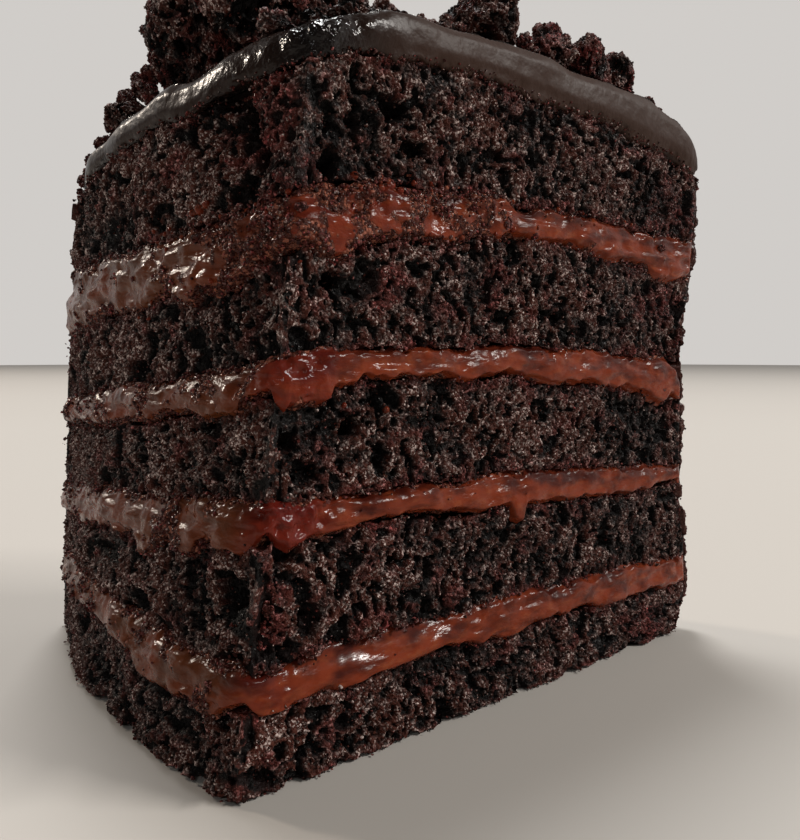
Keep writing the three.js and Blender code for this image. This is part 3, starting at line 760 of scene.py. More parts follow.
class CAKE_OT_stage(bpy.types.Operator):
    """Sets the floor, the lights and the camera"""

    bl_idname = "cake.stage"
    bl_label = "Stage, lights and camera"

    def execute(self, context):
        settings = context.scene.cake
        bm = bmesh.new()
        bmesh.ops.create_circle(bm, cap_ends=True, segments=96, radius=FLOOR_RADIUS)
        bmesh.ops.translate(bm, verts=bm.verts, vec=(0, 0, -FLOOR_GAP))
        mesh = bpy.data.meshes.new("floor")
        bm.to_mesh(mesh)
        bm.free()
        mesh.materials.append(floor_material("matt_painted_floor", settings))
        floor = bpy.data.objects.new("floor", mesh)
        context.scene.collection.objects.link(floor)

        world = bpy.data.worlds.new("studio")
        world.use_nodes = True
        tree = world.node_tree
        tree.nodes.clear()
        way = add_node(tree, "ShaderNodeTexCoord", out="Generated")
        up = add_node(tree, "ShaderNodeSeparateXYZ", {"Vector": way}, out="Z")
        # Pale walls, and a dimmer ceiling over them
        power = add_node(
            tree,
            "ShaderNodeMapRange",
            {"Value": up, "From Min": 0.35, "From Max": 0.8, "To Min": 0.8, "To Max": 0.3},
            **SMOOTH,
        )
        # Little light from the room in front of the corner
        front = add_node(
            tree,
            "ShaderNodeVectorMath",
            {0: way, 1: (-0.8, -0.6, 0.0)},
            out="Value",
            operation="DOT_PRODUCT",
        )
        front = add_node(
            tree,
            "ShaderNodeMapRange",
            {"Value": front, "From Min": -0.6, "From Max": 0.4, "To Min": 1.0, "To Max": 0.2},
            **SMOOTH,
        )
        power = add_node(tree, "ShaderNodeMath", {0: power, 1: front}, operation="MULTIPLY")
        sky = add_node(tree, "ShaderNodeBackground", {"Color": tone("#e6e2de"), "Strength": power})
        add_node(tree, "ShaderNodeOutputWorld", {"Surface": sky})
        context.scene.world = world

        for name, place, (wide, tall), share, colour in LIGHTS:
            data = bpy.data.lights.new(name, "AREA")
            data.shape = "RECTANGLE"
            data.size = wide
            data.size_y = tall
            data.energy = settings.window_power * share
            data.color = tone(colour)[:3]
            lamp = bpy.data.objects.new(name, data)
            lamp.location = place
            lamp.rotation_euler = (LIGHTS_AIM - Vector(place)).to_track_quat("-Z", "Y").to_euler()
            context.scene.collection.objects.link(lamp)

        data = bpy.data.cameras.new("camera")
        data.lens = LENS
        data.sensor_width = FILM_WIDTH
        data.clip_start = 0.01
        camera = bpy.data.objects.new("camera", data)
        camera.location = Vector((*FRONT_CORNER, 0)) * MM + CAMERA_FROM_CORNER
        camera.rotation_euler = [math.radians(turn) for turn in CAMERA_TURNS]
        context.scene.collection.objects.link(camera)
        context.scene.camera = camera
        context.scene.view_settings.view_transform = "Standard"
        return {"FINISHED"}


# Open holes in the sponge faces, from the photo: place along the cut, height, half width,
# half height and depth in millimetres
HOLES = (
    (-16.0, 105.5, 4.2, 2.4, 3.8),
    (-12.5, 101.0, 2.2, 2.4, 3.0),
    (-25.0, 101.0, 2.2, 2.6, 2.6),
    (-8.0, 94.5, 1.3, 2.4, 2.6),
    (6.0, 94.0, 2.2, 2.6, 4.0),
    (9.0, 89.0, 1.5, 2.6, 3.5),
    (17.0, 104.0, 3.2, 2.4, 3.5),
    (22.0, 98.5, 3.4, 1.5, 3.0),
    (8.5, 76.5, 1.8, 1.5, 4.0),
    (14.5, 54.0, 2.0, 1.8, 3.5),
    (5.0, 36.0, 2.4, 2.0, 3.0),
    (-5.6, 30.5, 3.0, 3.2, 3.2),
    (-5.0, 20.6, 2.4, 1.5, 2.4),
    (10.0, 25.0, 2.0, 3.0, 2.6),
    (7.0, 47.5, 2.6, 2.2, 2.8),
    (3.0, 52.5, 1.8, 1.6, 2.4),
    (21.0, 49.0, 1.8, 2.2, 2.2),
    (26.0, 31.6, 1.5, 1.2, 3.0),
    (40.0, 100.0, 3.0, 1.6, 2.0),
    (62.0, 72.0, 2.6, 1.5, 2.0),
    (-42.0, 75.0, 4.0, 2.0, 3.0),
    (-40.0, 62.0, 4.0, 2.4, 2.5),
    (-30.0, 24.0, 3.0, 2.0, 2.2),
)

# Crumb that has soaked up filling: place along the cut, height, half width, half height
SOAKED = (
    (-9.0, 101.0, 9.0, 9.0),
    (-2.0, 92.0, 6.0, 5.0),
    (3.0, 27.0, 3.4, 6.5),
    (5.7, 5.4, 3.0, 2.2),
    (0.0, 3.0, 3.0, 2.0),
    (19.0, 76.0, 5.0, 4.0),
    (44.0, 78.0, 4.0, 5.0),
    (99.0, 96.0, 12.0, 6.0),
    (84.0, 91.0, 14.0, 2.6),
    (97.0, 76.0, 11.0, 4.5),
    (102.0, 55.0, 8.0, 3.0),
    (104.0, 5.0, 7.0, 4.0),
)


class CAKE_OT_sponges(bpy.types.Operator):
    """Tears the cut faces of the five sponges open into crumb"""

    bl_idname = "cake.sponges"
    bl_label = "Sponges"

    def execute(self, context):
        settings = context.scene.cake
        material = material_called("open_cocoa_crumb", crumb_material, settings)
        for number, node in enumerate(SPONGES):
            mesh = dense_copy(node, f"torn_{node}", faces_the_cut, SPONGE_EDGE)
            wall = shown_points(mesh)
            points = points_of(mesh)
            line = CutLine(node, SPONGE_ROUNDING)
            where, share, room = places_on_cut(line, points)
            height, high = self.crumb(points, where, settings)
            out = line.outward(where) * (height * room * wall)[:, None]
            spread = self.over_the_seams(where, share, number)
            points[:, :2] += out
            points[:, 2] += spread * room * wall
            place_points(mesh, points)
            # The material paints shade by this height: dark low down in hollows and holes, lighter on top
            keep_number(mesh, "high", high)
            keep_number(mesh, "soaked", self.soaked(points, where, share))
            keep_number(mesh, "open", wall)
            keep_number(mesh, "seam", ramp(np.abs(share - 0.5), 0.45, 0.49))
            add_piece(mesh, material, [node], smooth=False)
        return {"FINISHED"}

    def crumb(self, points, where, settings):
        """How far the crumb of the cut faces stands out, and how high each point is."""
        height, high = torn_relief(points, settings, 11)
        # The corner is worn, and its hollows are shallow so that the two faces don't cross
        corner = np.exp(-((where / 3.0) ** 2))
        height = np.where(height < 0, height * (1 - 0.65 * corner), height)
        height = height - corner * (0.5 + 0.7 * swell(points, 4.0, 73))
        for at, level, wide, tall, deep in HOLES:
            far = far_from(points, where, at, level, wide, tall) + 0.4 * swell(points, 1.8, 63)
            hollow = 1 - ramp(far, 0.45, 1.2)
            height = height - deep * hollow
            # Holes are painted dark as well as sunk: painted shade
            high = high * (1 - hollow)
        return height, high

    def over_the_seams(self, where, share, number):
        """Crumb that hangs over the filling, above and below."""
        flat = on_line(where)
        up = 0.35 + 0.5 * swell(flat, 2.8, 80 + number) + 0.35 * swell(flat, 1.1, 85 + number)
        down = 0.65 + 0.5 * swell(flat, 2.4, 90 + number) + 0.35 * swell(flat, 1.0, 95 + number)
        if number == 0:
            down = down * 0
        if number == len(SPONGES) - 1:
            up = up * 0.6
        return up * ramp(share, 0.8, 1.0) - down * (1 - ramp(share, 0.0, 0.2))

    def soaked(self, points, where, share):
        """How much filling the crumb has taken up, most of it beside the seams."""
        much = 0.7 * ramp(beside_seam(share) + 0.6 * swell(points, 2.6, 71), 0.45, 1.0)
        for at, level, wide, tall in SOAKED:
            far = far_from(points, where, at, level, wide, tall) + 0.7 * swell(points, 2.2, 75)
            much = np.maximum(much, 0.85 * (1 - ramp(far, 0.4, 1.3)))
        return much


# Where each filling hangs over the sponge below it: place along the cut, half width and
# length in millimetres
DRIPS = {
    "filling_1": ((4.0, 3.4, 1.2), (-24.0, 8.0, 2.0), (19.0, 3.2, 0.8), (-8.0, 3.0, 1.6)),
    "filling_2": (
        (-2.6, 3.2, 1.2),
        (4.6, 2.6, 1.6),
        (9.0, 2.4, 1.0),
        (55.0, 1.8, 4.2),
        (-6.0, 5.0, 1.5),
        (-18.0, 4.0, 3.0),
        (-30.0, 5.0, 3.6),
    ),
    "filling_3": (
        (5.6, 4.6, 2.8),
        (0.6, 1.2, 3.2),
        (13.0, 2.2, 1.0),
        (-12.0, 6.0, 1.8),
        (98.0, 3.4, 2.0),
    ),
    "filling_4": (
        (8.0, 3.5, 2.5),
        (30.0, 5.0, 1.5),
        (96.0, 6.0, 2.4),
        (-14.0, 5.0, 2.5),
        (-23.0, 3.0, 3.0),
    ),
}

# The rounded lip of each filling on the long cut: its middle along the cut and its half length in
# millimetres, how marked it is, and how much fuller the band is at both edges in millimetres
LIPS = {
    "filling_1": (22.0, 19.0, 1.0, 0.5),
    "filling_2": (50.0, 34.0, 0.2, 0.0),
    "filling_3": (50.0, 34.0, 0.2, 0.0),
    "filling_4": (84.0, 20.0, 0.15, 0.0),
}

# The lumps of each filling at the corner: place along the cut, half width, and how marked
CORNER_LUMPS = {
    "filling_1": (3.0, 5.0, 0.3),
    "filling_2": (4.0, 8.0, 1.0),
    "filling_3": (3.0, 8.0, 0.7),
    "filling_4": (5.0, 20.0, 0.35),
}


class CAKE_OT_fillings(bpy.types.Operator):
    """Presses the four fillings out between the sponges"""

    bl_idname = "cake.fillings"
    bl_label = "Fillings"

    def execute(self, context):
        settings = context.scene.cake
        material = material_called("set_chocolate_ganache", filling_material, settings)
        for node in FILLINGS:
            mesh = dense_copy(node, f"pressed_{node}", faces_the_cut, FILLING_EDGE)
            wall = shown_points(mesh)
            points = points_of(mesh)
            line = CutLine(node, FILLING_ROUNDING)
            where, share, room = places_on_cut(line, points)
            messy = self.messy(points, where, node)
            crumby = self.crumby(points, share, messy, node)
            moved = self.press_out(line, where, share, node, messy, crumby, settings)
            weight = (room * wall)[:, None]
            points = points * (1 - weight) + moved * weight
            place_points(mesh, points)
            keep_number(mesh, "crumby", crumby)
            keep_number(mesh, "rise", share)
            keep_number(mesh, "lumpy", self.lump_share(where, node))
            # The short cut gets the browner, darker filling: partly knife smear, partly painted shade on
            # that side
            thin = ramp(-where, 0.0, 7.0) * (0.6 + 0.3 * swell(points, 6.0, 151))
            keep_number(mesh, "dragged", thin)
            keep_number(mesh, "sleek", self.sleek(where, share, node) * (1 - crumby))
            keep_number(mesh, "open", wall)
            add_piece(mesh, material, [node])
        return {"FINISHED"}

    def messy(self, points, where, node):
        """How broken up the filling is: smooth on the long cut, smeared on the short one."""
        left = ramp(-where, -4.0, 8.0)
        if node == "filling_4":
            return 0.35 + 0.55 * ramp(-np.abs(where - 12), -50.0, -22.0) + 0.1 * left
        return 0.1 + 0.5 * left + 0.2 * swell(points, 12.0, 99)

    def lump_share(self, where, node):
        """Where the filling has run together into a dark glossy mass of lumps, from 0 to 1."""
        at, wide, much = CORNER_LUMPS[node]
        return much * np.exp(-(((where - at) / wide) ** 4))

    def sleek(self, where, share, node):
        """Where the knife has drawn the filling out into a rounded lip, from 0 to 1."""
        at, wide, much, _ = LIPS[node]
        return much * np.exp(-((share - 0.62) ** 2) / 0.08 - ((where - at) / wide) ** 4)

    def crumby(self, points, share, messy, node):
        """Where torn crumb lies over the filling, from 0 to 1."""
        seed = 140 + FILLINGS.index(node)
        patches = 0.55 * swell(points, 3.6, seed) + 0.45 * swell(points, 1.5, seed + 5)
        rim = np.maximum(beside_seam(share), 0)
        return ramp(patches + 1.1 * (messy - 0.55) + 0.8 * rim, 0.1, 0.6)

    def press_out(self, line, where, share, node, messy, crumby, settings):
        """The outside of a filling: a fat lip that hangs down here and there."""
        seed = 100 + 10 * FILLINGS.index(node)
        flat = on_line(where)
        low, high = (line.at(where, edge) for edge in line.lines)
        at, wide, much, full = LIPS[node]
        drawn = much * np.exp(-(((where - at) / wide) ** 4))
        ragged = 1 - 0.85 * drawn
        hang = -0.3 + 0.55 * swell(flat, 8.0, seed) + 0.6 * ragged * swell(flat, 2.7, seed + 1)
        hang += 0.25 * ragged * swell(flat, 1.2, seed + 7)
        for drip, half, length in DRIPS[node]:
            hang += length * np.exp(-(np.abs((where - drip) / half) ** 4))
        hang -= 1.1 * np.exp(-((where / 2.0) ** 2))
        rise = -0.3 + 0.5 * swell(flat, 7.0, seed + 2) + 0.45 * ragged * swell(flat, 2.4, seed + 3)
        rise += 0.35 * ragged * swell(flat, 1.2, seed + 8)
        bottom = low[:, 2] - hang - full
        top = high[:, 2] + rise + full
        moved = low * (1 - share)[:, None] + high * share[:, None]
        moved[:, 2] = bottom * (1 - share) + top * share
        tuck = ramp(share, 0.0, SEAM) * ramp(1 - share, 0.0, SEAM)
        belly = np.sin(np.pi * share**0.7) ** 0.8
        pulled = np.stack([where / 7, moved[:, 2] / 2.2, np.zeros_like(where)], -1)
        folds = 0.4 * swell(pulled, 1.0, seed + 4) + 0.28 * swell(pulled * 2.1, 1.0, seed + 5)
        lumps = 0.8 * swell(moved, 4.2, seed + 9) + 0.35 * swell(moved, 2.0, seed + 10)
        fat = 1.1 + 0.6 * swell(flat, 14.0, seed + 6)
        sleek = self.sleek(where, share, node)
        folds *= 1 - 0.85 * sleek
        # A drawn-out lip leans back to its top
        lip = -2.6 * drawn * ramp(share, 0.42, 1.1)
        run = self.lump_share(where, node)
        lumps = lumps * messy
        lumps += run * (0.8 * swell(moved, 1.9, seed + 14) + 0.4 * swell(moved, 1.0, seed + 15))
        belly = settings.bulge / MM * belly * fat * (1 - 0.7 * sleek)
        out = (belly + folds * (0.85 + 0.7 * messy) + lumps) * tuck + lip
        out += 0.2 * np.maximum(hang, 0) * tuck * (1 - share) - 0.7 * (1 - tuck)
        grain, _ = grains(moved, 1.0, seed + 11)
        fine, _ = grains(moved, 0.5, seed + 12)
        out += crumby * (0.55 * grain + 0.5 * fine - 0.1)
        moved[:, :2] += line.outward(where) * out[:, None]
        return moved


class CAKE_OT_glaze(bpy.types.Operator):
    """Pours the glaze, glossy on top and satin on its cut edge"""

    bl_idname = "cake.glaze"
    bl_label = "Glaze"

    def execute(self, context):
        settings = context.scene.cake
        mesh = dense_copy("glaze_top", "poured_glaze", lambda face: face.normal.z > -0.5, GLAZE_EDGE)
        wall_normals = normals_of(mesh)
        points = points_of(mesh)
        line = CutLine("glaze_top", SPONGE_ROUNDING)
        where = along_cut(points)
        # At the far end of the short cut the glaze stops short of the rim
        points[:, :2] += ramp(-where, 62.0, 84.0)[:, None] * (1.6, -1.4)
        cut = ramp(-np.minimum(wall_normals[:, 0], wall_normals[:, 1]), 0.35, 0.7)
        cut *= ramp(line.end_room(where, np.ones_like(where)), -6.0, 3.0)
        share = line.height_share(points, where)
        lower_edge = cut * (1 - ramp(share, 0.02, 0.2))
        near_corner = np.exp(-(((where - 1) / 14) ** 2))
        free = (1 - lower_edge) * shown_points(mesh)
        # The corner is rounded over most
        points = softened(mesh, points, free * 0.5 * (0.04 + 0.96 * near_corner), 60)
        write_points(mesh, points)
        normals = normals_of(mesh)
        pooled = 1 - ramp(cut, 0.2, 0.9) * (1 - near_corner)
        wave = 0.45 * swell(points, 8.0, 201) + 0.3 * swell(points, 3.5, 202) * pooled
        wave += 0.6 * swell(points, 2.4, 203) * near_corner
        points += normals * (wave * free)[:, None]
        ragged = 0.6 * swell(on_line(where), 2.6, 205) + 0.4 * swell(on_line(where), 1.0, 206)
        points[:, 2] += ragged * lower_edge
        place_points(mesh, points)
        # The cut is glossier on the short side
        left = ramp(-where, 4.0, 16.0)
        keep_number(mesh, "cut", cut * (1 - near_corner) * (1 - 0.5 * left))
        keep_number(mesh, "open", cut * (1 - ramp(share, 0.05, 0.2)))
        material = material_called("poured_dark_chocolate_glaze", glaze_material, settings)
        add_piece(mesh, material, ["glaze_top"])
        return {"FINISHED"}


# The frosting grows this far inwards to the layers, in millimetres
COAT_ROOM = 0.9
# Faces that lie further than this behind the cake's centre, along their own way out, look inwards
COAT_INSIDE = -40.0
# The radius of the whole cake, in millimetres
CAKE_RADIUS = 115.0


def looks_out(face):
    """True for the faces of the coat that don't lie against the layers."""
    way = face.calc_center_median() / MM
    return way.xy.dot(face.normal.xy) - Vector(CAKE_CENTRE).dot(face.normal.xy) > COAT_INSIDE


class CAKE_OT_side_coat(bpy.types.Operator):
    """Spreads the thin frosting round the rim"""

    bl_idname = "cake.side_coat"
    bl_label = "Side coat"

    def execute(self, context):
        settings = context.scene.cake
        mesh = dense_copy("side_coat", "spread_side_coat", looks_out, COAT_EDGE)
        points = points_of(mesh)
        normals = normals_of(mesh)
        level = points * (0.12, 0.12, 1.0)
        stroke = 0.7 * swell(level, 6.0, 301) + 0.35 * swell(level, 2.2, 304)
        wave = stroke + 0.5 * swell(points, 9.0, 302) + 0.25 * swell(points, 2.5, 303) - 0.5
        thin = ramp(-wave, 0.3, 1.0) * 0.6 + ramp(swell(points, 5.0, 305), 0.2, 0.7) * 0.3
        fine, _ = grains(points, 0.8, 307)
        wave += fine * ramp(thin, 0.25, 0.5)
        centre = np.array(CAKE_CENTRE)
        outside = ((points[:, :2] - centre) * normals[:, :2]).sum(1) > 0
        x, y, z = points.T
        right_end = (normals[:, 1] < -0.5) & (y < -45)
        left_end = (normals[:, 0] < -0.5) & (x < -45) & (y > 30)
        end = right_end | left_end
        torn, _ = torn_relief(points, settings, 321)
        grown = np.where(end, torn, np.where(outside, wave, COAT_ROOM))
        near_end = np.maximum(ramp(-y, 44.0, 47.5), ramp(-x, 46.0, 51.0) * (y > 30))
        thin = np.maximum(thin, near_end * (0.5 + 0.5 * swell(points, 4.0, 309)))
        # The upper edge reaches up under the glaze
        reach = ramp(z, 95.0, 103.6) * (1.6 + 2.4 * ramp(y, 20.0, 45.0))
        inward = (centre - points[:, :2]) / CAKE_RADIUS * (reach * 0.7 * ramp(y, 20.0, 45.0))[:, None]
        points += normals * grown[:, None]
        points[:, 2] += reach
        points[:, :2] += inward
        place_points(mesh, points)
        keep_number(mesh, "thin", thin)
        ends = np.maximum(end, near_end * outside)
        keep_number(mesh, "open", np.maximum(outside * 0.02, ends * 0.3))
        material = material_called("spread_chocolate_frosting", frosting_material, settings)
        add_piece(mesh, material, ["side_coat"])
        return {"FINISHED"}


# Torn pieces that took up filling show redder, from 0 to 1
RED_CHUNKS = {"chunk_5": 0.5, "chunk_8": 0.6, "chunk_12": 0.8, "chunk_13": 0.9, "chunk_14": 0.9}

# Torn pieces that have sunk into the glaze, and the share of their height that is left
SUNK = {"chunk_11": 0.6}


class CAKE_OT_torn_cake(bpy.types.Operator):
    """Roughens the torn pieces of cake and the crumbs between them"""

    bl_idname = "cake.torn_cake"
    bl_label = "Torn cake"

    def execute(self, context):
        settings = context.scene.cake
        material = material_called("torn_cocoa_crumb", crumb_material, settings)
        for number, node in enumerate(CHUNKS + ["crumb_bed"]):
            edge, rounds = (BED_EDGE, 2) if node == "crumb_bed" else (CHUNK_EDGE, 8)
            mesh = dense_copy(node, f"torn_{node}", lambda face: face.normal.z > -0.6, edge)
            points = points_of(mesh)
            points = softened(mesh, points, np.full(len(points), 0.5), rounds)
            low = points[:, 2].min()
            points[:, 2] = low + (points[:, 2] - low) * SUNK.get(node, 1.0)
            write_points(mesh, points)
            normals = normals_of(mesh)
            height, high = torn_relief(points, settings, 411 + number)
            points += normals * (height + 0.1)[:, None]
            place_points(mesh, points)
            # The material paints shade by this height: dark low down in the crevices, lighter on top
            keep_number(mesh, "high", high)
            red = RED_CHUNKS.get(node, 0.1)
            keep_number(mesh, "soaked", red * ramp(swell(points, 4.0, 471), -0.6, 0.5))
            keep_number(mesh, "open", shown_points(mesh))
            add_piece(mesh, material, [node], smooth=False)
        return {"FINISHED"}


# Shapes of loose crumbs in each kind, so that no two neighbours look alike
CRUMB_SHAPES = 7
CRUMB_SEED = 2024

# The least radius of each kind of loose piece, as a share of its greatest
ROUNDNESS = {"grain": 0.5, "lump": 0.45, "blob": 0.55}


def crumb_shapes(rng, kind, roundness):
    """Small uneven lumps about 1 mm in radius, as points and triangles."""
    shapes = []
    for _ in range(CRUMB_SHAPES):
        bm = bmesh.new()
        if kind == "grain":
            bmesh.ops.create_cube(bm, size=1.25)
            bmesh.ops.triangulate(bm, faces=bm.faces)
        else:
            rounds = 2 if kind == "blob" else 1
            bmesh.ops.create_icosphere(bm, subdivisions=rounds, radius=1.0)
        corners = np.array([vert.co for vert in bm.verts])
        faces = np.array([[vert.index for vert in face.verts] for face in bm.faces])
        bm.free()
        uneven = swell(corners, 0.9, int(rng.integers(1000))) * 0.5 + 0.5
        if kind != "blob":
            uneven = rng.uniform(size=len(corners))
        corners *= (roundness + (1 - roundness) * uneven)[:, None]
        corners *= rng.uniform(roundness, 1.0, 3)
        shapes.append(corners)
    return np.array(shapes), faces


def turned(rng, count):
    """Random turns in space."""
    w, x, y, z = rng.normal(size=(4, count))
    length = np.sqrt(w * w + x * x + y * y + z * z)
    w, x, y, z = w / length, x / length, y / length, z / length
    rows = (
        (1 - 2 * (y * y + z * z), 2 * (x * y - z * w), 2 * (x * z + y * w)),
        (2 * (x * y + z * w), 1 - 2 * (x * x + z * z), 2 * (y * z - x * w)),
        (2 * (x * z - y * w), 2 * (y * z + x * w), 1 - 2 * (x * x + y * y)),
    )
    return np.moveaxis(np.array([np.stack(row) for row in rows]), -1, 0)


def strewn_over(rng, pieces, count, kept, base):
    """Random places on the open faces of pieces, and the way out of the surface at each.

    BASE, and the number that is KEPT there, is how many a place gets.
    """
    corners = []
    weights = []
    for piece in pieces:
        mesh = piece.data
        three = corners_of(mesh)
        points = points_of(mesh)
        wanted = base + number_of(mesh, kept) if kept else base
        chance = number_of(mesh, "open") * wanted
        corners.append(points[three])
        weights.append(chance[three].min(1))
    corners = np.concatenate(corners)
    weights = np.concatenate(weights)
    cross = np.cross(corners[:, 1] - corners[:, 0], corners[:, 2] - corners[:, 0])
    area = np.linalg.norm(cross, axis=1) + 1e-12
    weights = weights * area
    pick = rng.choice(len(area), count, p=weights / weights.sum())
    first, second = rng.uniform(size=(2, count))
    over = first + second > 1
    first[over], second[over] = 1 - first[over], 1 - second[over]
    a, b, c = corners[pick].transpose(1, 0, 2)
    place = a + (b - a) * first[:, None] + (c - a) * second[:, None]
    return place, cross[pick] / area[pick, None]


def strew(rng, name, places, sizes, kind, material, reddish):
    """One piece of loose crumbs, each turned its own way."""
    shapes, faces = crumb_shapes(rng, kind, ROUNDNESS[kind])
    count = len(places)
    which = rng.integers(0, CRUMB_SHAPES, count)
    lumps = np.einsum("nij,nkj->nki", turned(rng, count), shapes[which])
    points = lumps * sizes[:, None, None] + places[:, None, :]
    each = points.shape[1]
    all_faces = faces[None] + (np.arange(count) * each)[:, None, None]
    mesh = bpy.data.meshes.new(name)
    mesh.from_pydata(np.zeros((count * each, 3)), [], all_faces.reshape(-1, 3).tolist())
    place_points(mesh, points.reshape(-1, 3))
    # Each loose crumb gets a random height share, from which the material paints its shade and its glints
    keep_number(mesh, "high", np.repeat(rng.uniform(0.3, 1.0, count), each))
    keep_number(mesh, "soaked", np.repeat(reddish, each))
    return add_piece(mesh, material, smooth=kind == "blob")


# Single lumps of torn cake that show at the edge of the heap: place and radius in millimetres,
# and the share of reddish crumbs in each
LONE_LUMPS = (
    (50.0, -42.0, 117.6, 3.0, 0.5),
    (47.2, -44.0, 118.6, 1.9, 0.5),
    (53.5, -40.5, 116.0, 1.8, 0.5),
    (-12.9, -43.6, 122.6, 1.8, 0.5),
    (-9.5, -43.9, 122.4, 1.4, 0.5),
    (9.4, -42.0, 124.5, 2.4, 0.5),
    (11.0, -43.0, 123.0, 1.6, 0.5),
    (-46.0, 8.0, 117.0, 2.6, 0.5),
    (-46.8, 11.0, 114.6, 1.7, 0.5),
    (-46.4, 9.0, 119.0, 1.5, 0.8),
    (-47.6, 12.4, 115.4, 2.5, 0.5),
    (-47.8, 14.6, 112.6, 1.6, 0.3),
    (-48.2, 15.6, 113.8, 1.4, 0.8),
    (-48.8, 17.0, 111.2, 2.2, 0.5),
    (-49.2, 18.6, 108.8, 1.5, 0.3),
    (-49.8, 20.4, 108.2, 2.1, 0.5),
    (-50.2, 21.8, 105.8, 1.4, 0.8),
    (-50.8, 23.2, 105.0, 2.0, 0.5),
    (-51.0, 24.6, 102.8, 1.6, 0.3),
    (-51.6, 26.2, 101.4, 1.7, 0.5),
    (-51.8, 27.6, 99.4, 1.2, 0.5),
    (-45.2, 5.6, 115.6, 2.6, 0.4),
    (-44.4, 7.6, 119.8, 2.8, 0.6),
    (-44.6, 10.6, 117.4, 2.6, 0.5),
    (-45.4, 11.6, 119.6, 1.7, 0.9),
    (-45.6, 15.2, 116.6, 2.4, 0.4),
    (-43.8, 5.0, 122.6, 2.2, 0.9),
    (-47.0, 20.4, 112.8, 2.2, 0.3),
    (-43.0, -44.2, 118.2, 2.1, 1.0),
)

# How many grains a lump has for each millimetre of its radius
GRAINS_TO_A_MM = 40

# Smooth bits of filling smeared on the cut faces: place along the cut, height and radius in
# millimetres
BITS = (
    (10.4, 92.5, 1.4),
    (11.6, 90.6, 0.8),
    (17.6, 92.0, 1.9),
    (19.6, 91.2, 1.2),
    (15.6, 91.2, 1.0),
    (-21.0, 88.5, 1.5),
    (-19.2, 88.9, 1.2),
    (-23.2, 88.0, 1.1),
    (21.0, 56.4, 1.0),
    (19.6, 57.0, 0.6),
    (12.7, 57.6, 0.8),
    (-5.0, 86.0, 1.1),
    (2.0, 84.0, 1.0),
    (30.0, 93.0, 1.1),
)

# Many smaller ones lie beside the top filling, between two places along the cut
SMALL_BITS = 90
SMALL_BITS_REACH = (-40.0, 85.0)

# Lumps of soaked crumb on the cut faces: place along the cut, height and radius in millimetres
CUT_LUMPS = (
    (10.4, 20.6, 1.6),
    (12.6, 21.2, 1.1),
    (8.6, 20.0, 1.0),
    (19.3, 11.3, 1.4),
    (21.4, 11.6, 0.9),
    (3.4, 31.0, 1.1),
    (2.6, 28.0, 1.5),
    (3.6, 25.0, 1.6),
    (2.0, 22.4, 1.3),
    (-4.0, 84.5, 1.6),
    (1.0, 86.5, 1.5),
    (5.0, 83.0, 1.2),
    (-16.0, 86.0, 1.6),
    (-20.0, 83.5, 1.3),
    (30.0, 91.5, 1.4),
    (36.0, 90.4, 1.2),
    (44.0, 88.6, 1.4),
    (52.0, 87.0, 1.1),
    (99.0, 57.5, 1.3),
    (94.0, 88.0, 1.2),
)


# The scattered crumbs: kind, count, the number that draws them and their base chance, least
# radius with how much it grows and how rare large ones are, how red and the share that isn't,
# and how far out of the surface, all in millimetres
SCATTERED = {
    "grains_on_sponge": ("grain", 15000, ("high", 0.15), (0.2, 0.26, 1.5), (0.8, 0.85), 0.1),
    "crumbs_at_seams": ("lump", 3200, ("crumby", 0.004), (0.22, 0.5, 2), (1.0, 0.3), 0.12),
    "crumbs_in_seams": ("lump", 3400, ("seam", 0.0), (0.25, 0.45, 1.5), (0.9, 0.45), (0.2, 1.1)),
    "crumbs_at_edges": ("lump", 2000, (None, 1.0), (0.22, 0.4, 2), (0.9, 0.4), 0.1),
    "grains_on_torn_cake": ("grain", 12000, (None, 1.0), (0.25, 0.4, 1.5), (0.8, 0.8), 0.1),
}


